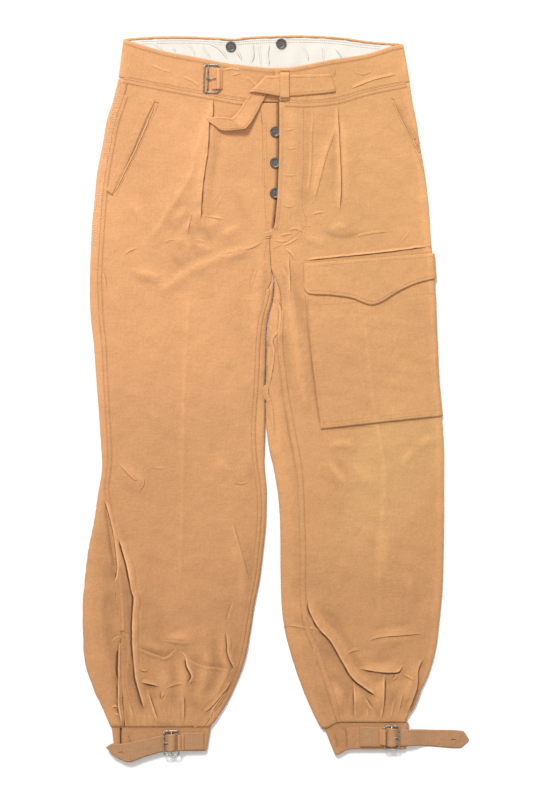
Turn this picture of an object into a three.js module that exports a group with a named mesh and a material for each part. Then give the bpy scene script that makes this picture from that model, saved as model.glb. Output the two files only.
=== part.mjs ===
// Paratrooper trousers, laid flat on their back with the waist at the top: cotton twill fronts lie on the
// backs, the waist lies open on its pale lining, and both legs are gathered into buckled ankle cuffs.
// Units are millimetres. X runs across the waist, Y from the cuffs to the waist, and Z up from the resting
// face. Right and left are the wearer's, so the right leg has the lower X.
import * as THREE from 'three';

// Driving sizes
const clothWall = 1.6;
const bandWall = 1.8;
const liningWall = 1.2;
const seamGap = 0.3;
const layerGap = 0.4;
const legHeight = 5.6;
const cuffHeight = 7;
const edgeRound = 6;
const edgeTurn = 7;
const stopSpacing = 5;
const flyOverlapLift = 4.8;
const flyOverlapReach = 46;
const buttonDiameter = 15.4;
const buttonHeight = 2.2;
const beltWall = 1.5;
const wireSize = 2.2;

const sand = 0xe0a572;
const sandShade = 0xcd9567;
const canvasWhite = 0xf5f0e6;
const buttonGrey = 0x4a4744;
const steelGrey = 0xa9a9a6;

const mix = (from, to, share) => from + (to - from) * share;
const clamp = (value, low, high) => Math.min(high, Math.max(low, value));
const ease = (from, to, value) => {
  const share = clamp((value - from) / (to - from), 0, 1);
  return share * share * (3 - 2 * share);
};
const table = (names, rows) => rows.map((row) => Object.fromEntries(names.map((name, i) => [name, row[i]])));
const steps = (count) => Array.from({ length: count + 1 }, (_, i) => i / count);

// Smooth reading of a table's column: a cubic through the rows, its slopes taken from the rows on either
// side.
function read(rows, key, column, at) {
  const ordered = rows[0][key] < rows[rows.length - 1][key] ? rows : [...rows].reverse();
  const last = ordered.length - 1;
  const value = clamp(at, ordered[0][key], ordered[last][key]);
  let i = 0;
  while (i < last - 1 && ordered[i + 1][key] < value) i += 1;
  const slope = (k) => {
    const before = ordered[Math.max(k - 1, 0)];
    const after = ordered[Math.min(k + 1, last)];
    return (after[column] - before[column]) / (after[key] - before[key]);
  };
  const span = ordered[i + 1][key] - ordered[i][key];
  const s = (value - ordered[i][key]) / span;
  const start = ordered[i][column] * (1 + 2 * s) * (1 - s) ** 2;
  const end = ordered[i + 1][column] * s * s * (3 - 2 * s);
  return start + end + span * s * (1 - s) * (slope(i) * (1 - s) - slope(i + 1) * s);
}

// The legs' outlines at a height y: the outer and inner edge, and how far inside each edge a seam lies on
// the top face. An outseam below zero lies that far in on the resting face.
const outlineNames = ['y', 'outer', 'inner', 'outseam', 'inseam'];
const rightLeg = table(outlineNames, [
  [466, -228, -20, 15, 0],
  [433, -236, -20, 15, 0],
  [404, -245, -17, 15, 0],
  [369, -251, -15, 15, 0],
  [329, -259, -13, 15, 0],
  [288, -263, -12, 15, 0],
  [264, -265.5, -11, 15, 0],
  [248, -267, -3.2, 15, 0],
  [233, -267.5, -8.2, 15, 0],
  [210, -268.5, -8.2, 15, 0],
  [186, -269.5, -6.2, 15, 0],
  [172, -270, -2.8, 15, 3],
  [158, -270, -3.2, 15, 8],
  [143, -270, -4.8, 15, 9],
  [114, -268, -12, 15, 10],
  [78, -264, -14, 15, 11],
  [33, -261, -15, 14, 12],
  [-37, -256, -15.5, 13, 16],
  [-77, -253, -16, 12, 14],
  [-100, -252, -16, 10, 12],
  [-138, -258, -13, 11, 10],
  [-179, -264, -14, 25, 9],
  [-219, -272, -18, 38, 9],
  [-260, -277, -23, 50, 9],
  [-301, -280.5, -31, 56, 9],
  [-341, -280, -37, 57, 9],
  [-382, -277, -45, 47, 10],
  [-422, -264, -61, 38, 10],
  [-443, -253, -73, 29, 10],
  [-471.6, -240, -94, 18, 10],
]);
const leftLeg = table(outlineNames, [
  [459, 194.5, 5, -14, 0],
  [433, 198, 5, -14, 0],
  [404, 204, 5, -14, 0],
  [369, 209, 5, -14, 0],
  [329, 216, 4, -14, 0],
  [288, 221, 2, -14, 0],
  [264, 223, -0.5, -14, 0],
  [248, 224, -2.6, -14, 0],
  [233, 225, -7.8, -14, 0],
  [210, 227, -7.8, -14, 0],
  [186, 228.5, -5.8, -14, 0],
  [172, 229.5, -2.2, -14, 3],
  [158, 230, -2.4, -14, 8],
  [143, 231, -4.2, -14, 12],
  [114, 232, -11, -14, 16],
  [78, 233.5, -13, -14, 16],
  [26, 236, -14, -14, 23],
  [-37, 242, -14.5, -14, 32],
  [-77, 244, -9, -14, 34],
  [-98, 244, -4, -14, 33],
  [-138, 244, 3, -14, 33],
  [-179, 244, 6, -14, 32],
  [-269, 242, 7, -14, 31],
  [-325, 237, 11, -14, 33],
  [-364, 232, 20, -14, 35],
  [-402, 221, 32, -14, 37],
  [-437, 203, 46, -14, 33],
  [-469.6, 188, 66, -14, 24],
]);
// The centre back seam, above the crotch
const centreBack = table(['y', 'x'], [[476, 0], [330, 0], [248, -3], [210, -6], [186, -6], [172, -2.5]]);
const crotchTop = 186;
const crotchEnd = 158;

// Curves across the waist, each a height y for an x
const frontSeam = table(['x', 'y'], [
  [-228, 466], [-177, 456], [-130, 447], [-91, 440], [-60, 434], [-20, 430.5], [20, 429.5],
  [45, 429.5], [90, 434], [131, 446], [194.5, 459],
]);
const backSeam = table(['x', 'y'], [[-228, 466], [-100, 473], [0, 476], [100, 470], [194.5, 459]]);
const frontTop = table(['x', 'y'], [
  [-221, 522], [-201, 515], [-162, 504], [-115, 495], [-74, 487], [-36, 482], [2, 479], [20, 479.5],
  [48, 485], [80, 491.5], [131, 499.5], [170, 511.5], [185, 515],
]);
const backTop = table(['x', 'y'], [
  [-221, 522], [-177, 525], [-130, 525.3], [-83, 523.5], [-60, 522], [-42, 524.5], [6, 526.4], [48, 526.6],
  [98, 523.5], [131, 518.8], [170, 515.5], [185, 515],
]);
const curveY = (curve, x) => read(curve, 'x', 'y', x);

// Raised folds. Each runs down its path; west and east are how far it spreads to lower and higher X.
const foldNames = ['name', 'height', 'west', 'east', 'path'];
const folds = table(foldNames, [
  ['right waist pleat', 3.4, 30, 11, [[-91, 436], [-93, 400], [-99, 355], [-106, 305], [-110, 245]]],
  ['right pleat return', 1.6, 20, 20, [[-97, 415], [-118, 360], [-140, 305], [-172, 262], [-196, 236]]],
  ['left waist pleat', 3.2, 11, 26, [[90, 430], [95, 366], [97, 311], [95, 262]]],
  ['left pleat return', 1.6, 16, 18, [[88, 408], [73, 361], [62, 330], [53, 285], [52, 262]]],
  ['right crotch edge', 2.8, 20, 12, [[-24, 228], [-28, 180], [-30, 110], [-26, 60], [-29, 20], [-34, -24]]],
  ['left inner thigh', 3, 15, 15, [[16, 205], [19, 160], [24, 113], [32, 62], [39, 14], [46, -30]]],
  ['left thigh edge', 2.2, 9, 9, [[3, 146], [7, 128], [6, 100], [-1, 84], [0, 62], [-3, 26], [-4, -20]]],
  ['right hip crease', 1.6, 15, 15, [[-222, 300], [-196, 268], [-176, 240]]],
  ['right knee crease', 2.4, 16, 16, [[-232, -82], [-205, -112], [-178, -126]]],
  ['right knee inner', 2, 18, 18, [[-60, -60], [-86, -104], [-118, -132]]],
  ['right shin overhang', 8, 11, 34, [
    [-226, -205], [-214, -252], [-206, -301], [-206, -350], [-202, -408], [-190, -452],
  ]],
  ['right back bulge', 4, 20, 16, [
    [-250, -130], [-258, -190], [-264, -250], [-264, -330], [-250, -405], [-236, -452],
  ]],
  ['right calf ridge', 4, 20, 14, [[-62, -175], [-50, -240], [-50, -296], [-58, -330]]],
  ['right calf cross', 3, 14, 14, [[-158, -360], [-134, -348], [-110, -352]]],
  ['right gather one', 5, 14, 12, [[-170, -372], [-160, -412], [-164, -460]]],
  ['right gather two', 5.4, 13, 13, [[-138, -360], [-132, -400], [-138, -462]]],
  ['right gather three', 5, 13, 13, [[-106, -340], [-100, -392], [-112, -434], [-116, -462]]],
  ['right gather four', 6, 14, 13, [[-76, -318], [-70, -366], [-70, -396], [-86, -434], [-100, -460]]],
  ['left knee crease', 2, 17, 17, [[96, -86], [132, -112], [176, -118]]],
  ['left shin ridge', 2.6, 18, 18, [[168, -150], [158, -220], [160, -290]]],
  ['left calf sweep', 6, 16, 18, [[47, -280], [58, -322], [84, -356], [97, -390], [116, -412], [144, -436]]],
  ['left calf cross', 3, 14, 14, [[134, -352], [168, -346], [206, -342]]],
  ['left tuck', 3.4, 12, 12, [[122, -390], [150, -396], [188, -386]]],
  ['left gather one', 4.6, 12, 12, [[84, -404], [92, -440], [97, -462]]],
  ['left gather two', 5, 11, 11, [[116, -412], [118, -440], [121, -462]]],
  ['left gather three', 5, 12, 12, [[152, -398], [152, -436], [146, -462]]],
  ['left gather four', 4.4, 12, 12, [[202, -360], [200, -402], [186, -440], [172, -460]]],
]);
const foldTaper = 22;
const stretch = ([x, y], [fromX, fromY]) => Math.hypot(x - fromX, y - fromY);
const pathLength = (path) => path.slice(1).reduce((sum, point, i) => sum + stretch(point, path[i]), 0);

// A fold's height at a point: its path's nearest point gives the distance, which falls off as (1 - d^2)^2,
// and its height fades in and out over the taper at both ends of the path.
function foldLift(fold, x, y) {
  let nearest = Infinity;
  let lift = 0;
  let passed = 0;
  const whole = pathLength(fold.path);
  for (let i = 1; i < fold.path.length; i += 1) {
    const [x0, y0] = fold.path[i - 1];
    const [x1, y1] = fold.path[i];
    const length = Math.hypot(x1 - x0, y1 - y0);
    const share = clamp(((x - x0) * (x1 - x0) + (y - y0) * (y1 - y0)) / length ** 2, 0, 1);
    const distance = Math.hypot(x - mix(x0, x1, share), y - mix(y0, y1, share));
    if (distance < nearest) {
      nearest = distance;
      const side = (x1 - x0) * (y - y0) - (y1 - y0) * (x - x0) > 0 ? fold.east : fold.west;
      const along = passed + share * length;
      const fade = ease(0, foldTaper, along) * ease(0, foldTaper, whole - along);
      lift = distance < side ? fold.height * fade * (1 - (distance / side) ** 2) ** 2 : 0;
    }
    passed += length;
  }
  return lift;
}

// How far the folds raise the top face at a point. They fade out at the waist seam and at the cuffs.
const cuffSeamY = -471;
const cuffFade = 26;
function clothLift(x, y) {
  const sum = folds.reduce((total, fold) => total + foldLift(fold, x, y), 0);
  return sum * ease(cuffSeamY - cuffFade, cuffSeamY + cuffFade, y);
}

// The left front's fly edge stands over the buttons, and settles onto its own side towards the hip and the
// bartack.
const bartackY = 236;
const flyFreeY = 286;
const flyShelf = 13;
function flyLift(x, y) {
  const edge = read(leftLeg, 'y', 'inner', y);
  const across = 1 - ease(edge + flyShelf, edge + flyOverlapReach, x);
  return flyOverlapLift * across * ease(bartackY, flyFreeY, y);
}

// The share of a lift that a point takes by its own height: none on the resting layer, all on the top
// layer.
const fullLiftZ = 3.8;
const midHeight = legHeight / 2;
const liftShare = (z) => ease(clothWall, fullLiftZ, z);
const topHeight = (x, y, leg) => legHeight + clothLift(x, y) + (leg === leftLeg ? flyLift(x, y) : 0);

// One point of a leg's flattened ring. turn is the distance round the edge from its outermost point: above
// zero on the top face, below zero on the resting face. The edge itself is a half ellipse, and depth is
// measured inwards.
const sharpestEdge = 0.4;
const innerRound = (y) => edgeRound * clamp((crotchTop - y) / (crotchTop - crotchEnd), 0, 1);
function ringPoint(leg, y, side, turn, depth, edgeX) {
  const tip = edgeX ?? read(leg, 'y', side, y);
  const round = side === 'outer' ? edgeRound : innerRound(y);
  const inward = (side === 'outer') === (leg === rightLeg) ? 1 : -1;
  if (Math.abs(turn) >= edgeTurn) {
    const z = turn > 0 ? legHeight - depth : depth;
    return [tip + inward * (round + Math.abs(turn) - edgeTurn), z];
  }
  const angle = (turn / edgeTurn) * (Math.PI / 2);
  const reach = Math.max(round - depth, sharpestEdge) * Math.cos(angle);
  return [tip + inward * (round - reach), midHeight + (midHeight - depth) * Math.sin(angle)];
}
// The turn at which a face lies a given distance inside its edge
const inside = (distance, round = edgeRound) => edgeTurn + distance - round;

// The rows of a leg follow the waist seam at the top and run straight across from the hip down.
const hipStraight = 330;
function rowY(leg, y, x, z) {
  const top = leg[0].y;
  const seam = curveY(z > midHeight ? frontSeam : backSeam, x) - seamGap / 2;
  return y + ease(hipStraight, top, y) * (seam - top);
}
function legRows(leg) {
  const stretches = table(['to', 'count'], [
    [hipStraight, 4], [264, 2], [248, 1], [233, 1], [crotchTop, 1], [172, 1], [crotchEnd, 1], [78, 2],
    [-98, 4], [-260, 6], [-400, 7], [leg[leg.length - 1].y, 4],
  ]);
  const rows = [leg[0].y];
  for (const { to, count } of stretches) {
    const from = rows[rows.length - 1];
    rows.push(...steps(count).slice(1).map((share) => mix(from, to, share)));
  }
  return rows;
}

// A closed wall between two grids of points, with its four borders closed.
function shell(outer, inner) {
  const rows = outer.length;
  const cols = outer[0].length;
  const at = (layer, row, col) => layer * rows * cols + row * cols + col;
  const faces = [];
  const quad = (a, b, c, d) => faces.push(a, b, c, a, c, d);
  for (let r = 0; r < rows - 1; r += 1) {
    for (let c = 0; c < cols - 1; c += 1) {
      quad(at(0, r, c), at(0, r + 1, c), at(0, r + 1, c + 1), at(0, r, c + 1));
      quad(at(1, r, c), at(1, r, c + 1), at(1, r + 1, c + 1), at(1, r + 1, c));
    }
    quad(at(0, r, 0), at(1, r, 0), at(1, r + 1, 0), at(0, r + 1, 0));
    quad(at(0, r, cols - 1), at(0, r + 1, cols - 1), at(1, r + 1, cols - 1), at(1, r, cols - 1));
  }
  for (let c = 0; c < cols - 1; c += 1) {
    quad(at(0, 0, c), at(0, 0, c + 1), at(1, 0, c + 1), at(1, 0, c));
    quad(at(0, rows - 1, c), at(1, rows - 1, c), at(1, rows - 1, c + 1), at(0, rows - 1, c + 1));
  }
  const points = [...outer.flat(), ...inner.flat()];
  const corner = (i) => new THREE.Vector3(...points[i]);
  let volume = 0;
  for (let i = 0; i < faces.length; i += 3) {
    volume += corner(faces[i]).dot(corner(faces[i + 1]).cross(corner(faces[i + 2])));
  }
  if (volume < 0) faces.reverse();
  const geometry = new THREE.BufferGeometry();
  geometry.setAttribute('position', new THREE.Float32BufferAttribute(points.flat(), 3));
  geometry.setIndex(faces);
  return geometry;
}

// The stops round an edge, from the panel's flat to its boundary: across the edge to the other face, or
// flat.
function edgeStops(face, boundary) {
  const sign = face === 'front' ? 1 : -1;
  if (boundary * sign >= edgeTurn) return [3, 2, 1, 0].map((k) => boundary + sign * k * stopSpacing);
  const past = mix(-sign * edgeTurn, boundary, 0.5);
  return [sign * edgeTurn, 0, -sign * edgeTurn, past, boundary];
}

// The right outseam is left open above its cuff, as a narrow vent with an underlap beneath it.
const ventTopY = -352;
const ventTaper = 16;
const ventWidth = 3.4;
const ventGap = (y) => ventWidth * ease(ventTopY, ventTopY - ventTaper, y);

// The boundaries of a panel on one row, as turns at the outer and the inner edge
function boundaries(leg, face, y) {
  const outseam = read(leg, 'y', 'outseam', y);
  const inseam = read(leg, 'y', 'inseam', y);
  const sign = face === 'front' ? 1 : -1;
  const clear = (sign * seamGap) / 2;
  const vent = leg === rightLeg && face === 'front' ? ventGap(y) : 0;
  const outer = Math.sign(outseam) * inside(Math.abs(outseam)) + clear + vent;
  if (y >= crotchTop) return [outer, sign * edgeTurn];
  return [outer, Math.max(inside(inseam, innerRound(y)), edgeTurn) + clear];
}

// Every row of a panel has as many stops as its rows at the shin.
const shinY = -200;
const centreSeamHalf = 0.2;
function legPanel(leg, face, flats) {
  const endStops = edgeStops(face, boundaries(leg, face, shinY)[1]).length;
  const grid = (depth) => legRows(leg).map((y) => {
    const [outerBound, innerBound] = boundaries(leg, face, y);
    const innerEdge = face === 'back' && y >= crotchTop
      ? read(centreBack, 'y', 'x', y) - (leg === rightLeg ? 1 : -1) * centreSeamHalf
      : undefined;
    let innerStops = edgeStops(face, innerBound);
    if (innerStops.length < endStops) innerStops = [innerStops[0] - stopSpacing, ...innerStops];
    const near = edgeStops(face, outerBound).reverse().map((turn) => ringPoint(leg, y, 'outer', turn, depth));
    const far = innerStops.map((turn) => ringPoint(leg, y, 'inner', turn, depth, innerEdge));
    const flatZ = face === 'front' ? legHeight - depth : depth;
    const [from, to] = [near[near.length - 1][0], far[0][0]];
    const middle = steps(flats).slice(1, -1).map((share) => [mix(from, to, share), flatZ]);
    return [...near, ...middle, ...far].map(([x, z]) => {
      const rowAt = rowY(leg, y, x, z);
      const onFly = leg === leftLeg && z > midHeight;
      const lift = clothLift(x, rowAt) * liftShare(z) + (onFly ? flyLift(x, rowAt) : 0);
      return [x, rowAt, z + lift];
    });
  });
  return shell(grid(0), grid(clothWall));
}

// A patch whose grid of plan points lies on the top face
function onTop(plan, leg, wall) {
  const lay = (height) => ([x, y]) => [x, y, topHeight(x, y, leg) + layerGap + height];
  const layer = (height) => plan.map((row) => row.map(lay(height)));
  return shell(layer(wall), layer(0));
}

const model = new THREE.Group();
function addPiece(name, geometry, colour, roughness = 0.9, metalness = 0) {
  const material = new THREE.MeshStandardMaterial({ color: colour, roughness, metalness });
  const mesh = new THREE.Mesh(geometry, material);
  mesh.name = name;
  model.add(mesh);
}

// Leg panels
addPiece('right_front', legPanel(rightLeg, 'front', 15), sand);
addPiece('left_front', legPanel(leftLeg, 'front', 15), sand);
addPiece('right_back', legPanel(rightLeg, 'back', 4), sandShade);
addPiece('left_back', legPanel(leftLeg, 'back', 4), sandShade);

// The strip under the vent lies between the fronts and the backs.
const underlap = { topZ: 3.5, wall: 1.2, reach: 7, fromY: -344, toY: -468 };
function ventUnderlap() {
  const layer = (depth) => steps(7).map((share) => {
    const y = mix(underlap.fromY, underlap.toY, share);
    const seam = read(rightLeg, 'y', 'outer', y) + read(rightLeg, 'y', 'outseam', y);
    const edges = [seam - underlap.reach, seam + ventWidth + underlap.reach];
    return edges.map((x) => [x, y, underlap.topZ - depth]);
  });
  return shell(layer(0), layer(underlap.wall));
}
addPiece('vent_underlap_right', ventUnderlap(), sandShade);

// The button stand shows as a strip beside the fly edge and runs under the left front.
const standReach = 26;
const standFootY = 266;
const standTopY = 429;
function buttonStand() {
  const heights = steps(8).map((share) => mix(standFootY, standTopY, share));
  const layer = (height) => heights.map((y) => {
    const from = read(rightLeg, 'y', 'inner', y) + 2 * seamGap;
    const to = read(leftLeg, 'y', 'inner', y) + standReach;
    return steps(3).map((share) => [mix(from, to, share), y, legHeight - height]);
  });
  return shell(layer(0), layer(clothWall));
}
addPiece('fly_button_stand', buttonStand(), sand);

// A sewn button: a dished disc with a raised rim, turned about its axis
const rimWidth = 2;
const dishDepth = 0.8;
function button(x, y, z) {
  const radius = buttonDiameter / 2;
  const floor = buttonHeight - dishDepth;
  const profile = [
    [0, 0], [radius - rimWidth / 2, 0], [radius, dishDepth], [radius - 0.6, buttonHeight],
    [radius - rimWidth, buttonHeight], [radius - rimWidth - 1, floor], [0, floor],
  ].map(([r, h]) => new THREE.Vector2(r, h));
  return new THREE.LatheGeometry(profile, 14).rotateX(Math.PI / 2).translate(x, y, z);
}
const flyButtons = table(['x', 'y'], [[-0.4, 387], [-0.8, 342], [-1, 298]]);
flyButtons.forEach(({ x, y }, i) => {
  addPiece(`fly_button_${i + 1}`, button(x, y, legHeight + seamGap), buttonGrey, 0.4);
});

// The front waistband, from the centre over the hip edge to its seam on the resting face
const bandSideSeam = { right: -203, left: 158 };
const bandTips = { right: [-228, -221], left: [194.5, 185] };
function frontBand(leg, centreX, flats) {
  const side = leg === rightLeg ? 'right' : 'left';
  const seamX = bandSideSeam[side];
  const sign = leg === rightLeg ? 1 : -1;
  const waistRow = leg[0].y;
  const grid = (depth) => steps(2).map((v) => {
    const tip = mix(...bandTips[side], v);
    const across = [edgeTurn, 0, -edgeTurn].map((turn) => ringPoint(leg, waistRow, 'outer', turn, depth, tip));
    const centre = centreX(v);
    const flatTo = across[0][0];
    const flat = steps(flats).slice(0, -1).map((share) => [mix(centre, flatTo, share), legHeight - depth]);
    const under = steps(2).slice(1).map((share) => [mix(across[2][0], seamX - sign * seamGap, share), depth]);
    return [...flat, ...across, ...under].map(([x, z]) => {
      const front = z > midHeight;
      const low = curveY(front ? frontSeam : backSeam, x) + seamGap;
      const y = mix(low, curveY(front ? frontTop : backTop, x), v);
      const lift = leg === leftLeg && front ? flyLift(x, Math.min(y, waistRow)) : 0;
      return [x, y, z + lift];
    });
  });
  return shell(grid(0), grid(bandWall));
}
addPiece('waistband_front_right', frontBand(rightLeg, () => 32, 16), sand);
addPiece('waistband_front_left', frontBand(leftLeg, (v) => mix(6, -3.5, v), 15), sand);

// The back waistband lies under the lining, and its top edge rolls over the lining's edge. Each point of
// its section is a shift from the seam or from the top edge, and a height.
const bandColumns = steps(14).map((share) => mix(bandSideSeam.right, bandSideSeam.left, share));
function backBand() {
  const sectionNames = ['edge', 'shift', 'z'];
  const outside = table(sectionNames, [
    ['seam', seamGap, 0], ['top', -1.2, 0], ['top', 0, 1.4], ['top', -0.2, 4.4], ['top', -2.6, 4.8],
  ]);
  const within = table(sectionNames, [
    ['seam', seamGap, clothWall], ['top', -1.7, clothWall], ['top', -1.6, 2.6], ['top', -1.6, 3.5],
    ['top', -2.6, 3.5],
  ]);
  const edges = { seam: backSeam, top: backTop };
  const line = (section) => (x) => section.map(({ edge, shift, z }) => [x, curveY(edges[edge], x) + shift, z]);
  return shell(bandColumns.map(line(outside)), bandColumns.map(line(within)));
}
addPiece('waistband_back', backBand(), sandShade);

// The pale lining inside the back waist
const liningInset = { side: 2.4, seam: 2, top: 2.1 };
function backLining() {
  const bottom = clothWall + seamGap;
  const [from, to] = [bandSideSeam.right + liningInset.side, bandSideSeam.left - liningInset.side];
  const columns = steps(14).map((share) => mix(from, to, share));
  const layer = (z) => columns.map((x) => steps(2).map((share) => {
    const y = mix(curveY(backSeam, x) + liningInset.seam, curveY(backTop, x) - liningInset.top, share);
    return [x, y, z];
  }));
  return shell(layer(bottom + liningWall), layer(bottom));
}
addPiece('waistband_lining', backLining(), canvasWhite);
const braceButtons = table(['x', 'y'], [[-65, 510.6], [8, 514.9]]);
braceButtons.forEach(({ x, y }, i) => {
  addPiece(`brace_button_${i + 1}`, button(x, y, clothWall + liningWall + 2 * seamGap), buttonGrey, 0.4);
});

// A strap between two edges, a row of the table for each station; it may fold over itself. Its wall is
// laid half to each side of the middle surface, along the cross product of the width and the run.
function strap(stations, wall, columns = 2) {
  const rows = stations.map((s) => steps(columns).map((share) => new THREE.Vector3(
    mix(s.ax, s.bx, share), mix(s.ay, s.by, share), mix(s.az, s.bz, share),
  )));
  const side = (sign) => rows.map((row, r) => row.map((point, c) => {
    const before = rows[Math.max(r - 1, 0)][c];
    const after = rows[Math.min(r + 1, rows.length - 1)][c];
    const run = after.clone().sub(before);
    const width = row[columns].clone().sub(row[0]);
    const normal = width.cross(run).normalize();
    return point.clone().addScaledVector(normal, (sign * wall) / 2).toArray();
  }));
  return shell(side(1), side(-1));
}

// The belt strap is sewn to the left band, passes the loop, folds under itself and ends in a curled tip.
const strapNames = ['ax', 'ay', 'az', 'bx', 'by', 'bz'];
const beltY = 440;
const bandTop = (x) => legHeight + flyLift(x, beltY) + layerGap + beltWall / 2;
const beltStations = table(strapNames, [
  [87, 445, bandTop(85), 80, 471, bandTop(85)],
  [68, 442.5, bandTop(66), 65, 470.5, bandTop(66)],
  [52, 441, bandTop(50), 51, 470, bandTop(50)],
  [42, 440, bandTop(42), 42, 470, bandTop(42)],
  [32, 438.5, bandTop(32), 33, 469.5, bandTop(32)],
  [24, 438, bandTop(24), 25, 469, bandTop(24)],
  [8, 437.5, bandTop(6), 7, 468.5, bandTop(6)],
  [-12, 441, 11.6, -4, 467.5, 11.6],
  [-29, 443.5, 11.2, -9, 467.5, 11.2],
  [-36, 444, 10.8, -13, 467.5, 10.8],
  [-38.5, 443.6, 9.6, -14.5, 466.8, 9.6],
  [-37.6, 441.5, 8.3, -11.5, 462, 8.3],
  [-41, 436, 7.4, -10.5, 452, 7.4],
  [-46, 429, 7.2, -14, 440, 7.2],
  [-52, 420, 7.8, -21, 426, 7.8],
  [-58, 412, 9.6, -30, 409, 9.6],
  [-62, 407, 12.4, -38, 396.5, 12.4],
  [-65, 405.5, 13.6, -43.5, 390.6, 14],
  [-71, 407, 12.6, -57, 388.6, 12.6],
  [-80, 408.3, 10.8, -70, 387.6, 10.8],
  [-89, 408.3, 9.6, -80, 389.2, 9.6],
  [-97, 407.4, 9, -88, 395, 9],
  [-101.8, 406.4, 8.8, -98, 402, 8.8],
]);
const clearOfCloth = (x, y, z) => Math.max(z, legHeight + clothLift(x, y) + 2 * layerGap + beltWall / 2);
const beltRun = beltStations.map((s) => ({
  ...s,
  az: clearOfCloth(s.ax, s.ay, s.az),
  bz: clearOfCloth(s.bx, s.by, s.bz),
}));
addPiece('belt_strap', strap(beltRun, beltWall), sand);

// The belt loop arches over the strap between its two sewn ends.
const loop = { width: 13.4, centreX: 13, wall: 1.3, crown: 0.3 };
function beltLoop() {
  const base = legHeight + flyLift(loop.centreX, beltY) + layerGap;
  const over = base + beltWall + 2 * layerGap;
  const top = over + loop.crown;
  const stations = table(['y', 'z'], [
    [431.5, base], [434.6, base], [436.6, over], [446, top], [461, top], [470.4, over], [472.4, base],
    [476.2, base],
  ]);
  const layer = (height) => stations.map(({ y, z }) => [-0.5, 0.5].map((side) => [
    loop.centreX + side * loop.width, y, z + height,
  ]));
  return shell(layer(loop.wall), layer(0));
}
addPiece('belt_loop', beltLoop(), sand);

// A wire buckle: a rounded frame with a bar across it, lying flat. bar is the bar's place, as a share of
// the width.
const buckleCorner = 3.4;
const windowCorner = 1.2;
function buckle(width, length, bar) {
  const outline = (halfX, halfY, radius, centreX = 0) => {
    const shape = new THREE.Shape();
    shape.absarc(centreX + halfX - radius, halfY - radius, radius, 0, Math.PI / 2);
    shape.absarc(centreX - halfX + radius, halfY - radius, radius, Math.PI / 2, Math.PI);
    shape.absarc(centreX - halfX + radius, -halfY + radius, radius, Math.PI, Math.PI * 1.5);
    shape.absarc(centreX + halfX - radius, -halfY + radius, radius, Math.PI * 1.5, Math.PI * 2);
    return shape;
  };
  const frame = outline(width / 2, length / 2, buckleCorner);
  const inner = width - 2 * wireSize;
  const first = inner * bar - wireSize / 2;
  const second = inner - first - wireSize;
  frame.holes.push(outline(first / 2, length / 2 - wireSize, windowCorner, -inner / 2 + first / 2));
  frame.holes.push(outline(second / 2, length / 2 - wireSize, windowCorner, inner / 2 - second / 2));
  return new THREE.ExtrudeGeometry(frame, { depth: wireSize, bevelEnabled: false, curveSegments: 2 });
}
const beltBuckle = { x: -93.5, y: 464, width: 23, length: 42, bar: 0.27, tilt: -0.03 };
addPiece(
  'belt_buckle',
  buckle(beltBuckle.width, beltBuckle.length, beltBuckle.bar)
    .rotateZ(beltBuckle.tilt)
    .translate(beltBuckle.x, beltBuckle.y, legHeight + layerGap),
  steelGrey,
  0.35,
  0.9,
);

// The tab that holds a buckle's end bar arches over the bar. Its outer foot lies beside the buckle, and
// its inner foot, where it has one, inside the buckle's window.
function buckleTab({ barX, centreY, halfWidth, base, outward, outerFoot, innerFoot, wall }) {
  const over = base + wireSize + 2 * layerGap;
  const inner = innerFoot > 0 ? [[-innerFoot, base], [-3.6, base], [-2.2, over - 0.6]] : [[-1.5, over - 0.2]];
  const stations = [...inner, [0, over + 0.2], [2.2, over - 0.6], [4.2, base], [outerFoot, base]];
  const layer = (height) => stations.map(([across, z]) => [-halfWidth, halfWidth].map((y) => [
    barX + outward * across, centreY + y, z + height,
  ]));
  return shell(layer(wall), layer(0));
}
const beltBarX = beltBuckle.x + beltBuckle.width / 2 - wireSize / 2;
addPiece('belt_buckle_tab', buckleTab({
  barX: beltBarX, centreY: 463.4, halfWidth: 15.5, base: legHeight + layerGap, outward: 1, outerFoot: 6,
  innerFoot: 9.4, wall: 1.2,
}), sand);

// Hip pocket openings, each a stitched welt along the slanting opening
const weltNames = ['ax', 'ay', 'bx', 'by'];
const weltWall = 1.2;
const rightWelt = table(weltNames, [
  [-184.5, 436, -175, 431], [-200, 404, -190, 400], [-216, 366, -206, 361], [-232, 330, -222, 325],
  [-246.5, 301, -237, 296],
]);
const leftWelt = table(weltNames, [
  [171, 431.5, 180, 435.5], [181, 412, 191.5, 414], [190, 393, 199, 394], [197, 376, 203.5, 376.5],
]);
const weltPlan = (welt) => steps(8).map((share) => {
  const rows = welt.map((row, i) => ({ ...row, at: i / (welt.length - 1) }));
  const point = (x, y) => [read(rows, 'at', x, share), read(rows, 'at', y, share)];
  return [point('ax', 'ay'), point('bx', 'by')];
});
addPiece('pocket_welt_right', onTop(weltPlan(rightWelt), rightLeg, weltWall), sand);
addPiece('pocket_welt_left', onTop(weltPlan(leftWelt), leftLeg, weltWall), sand);

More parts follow.
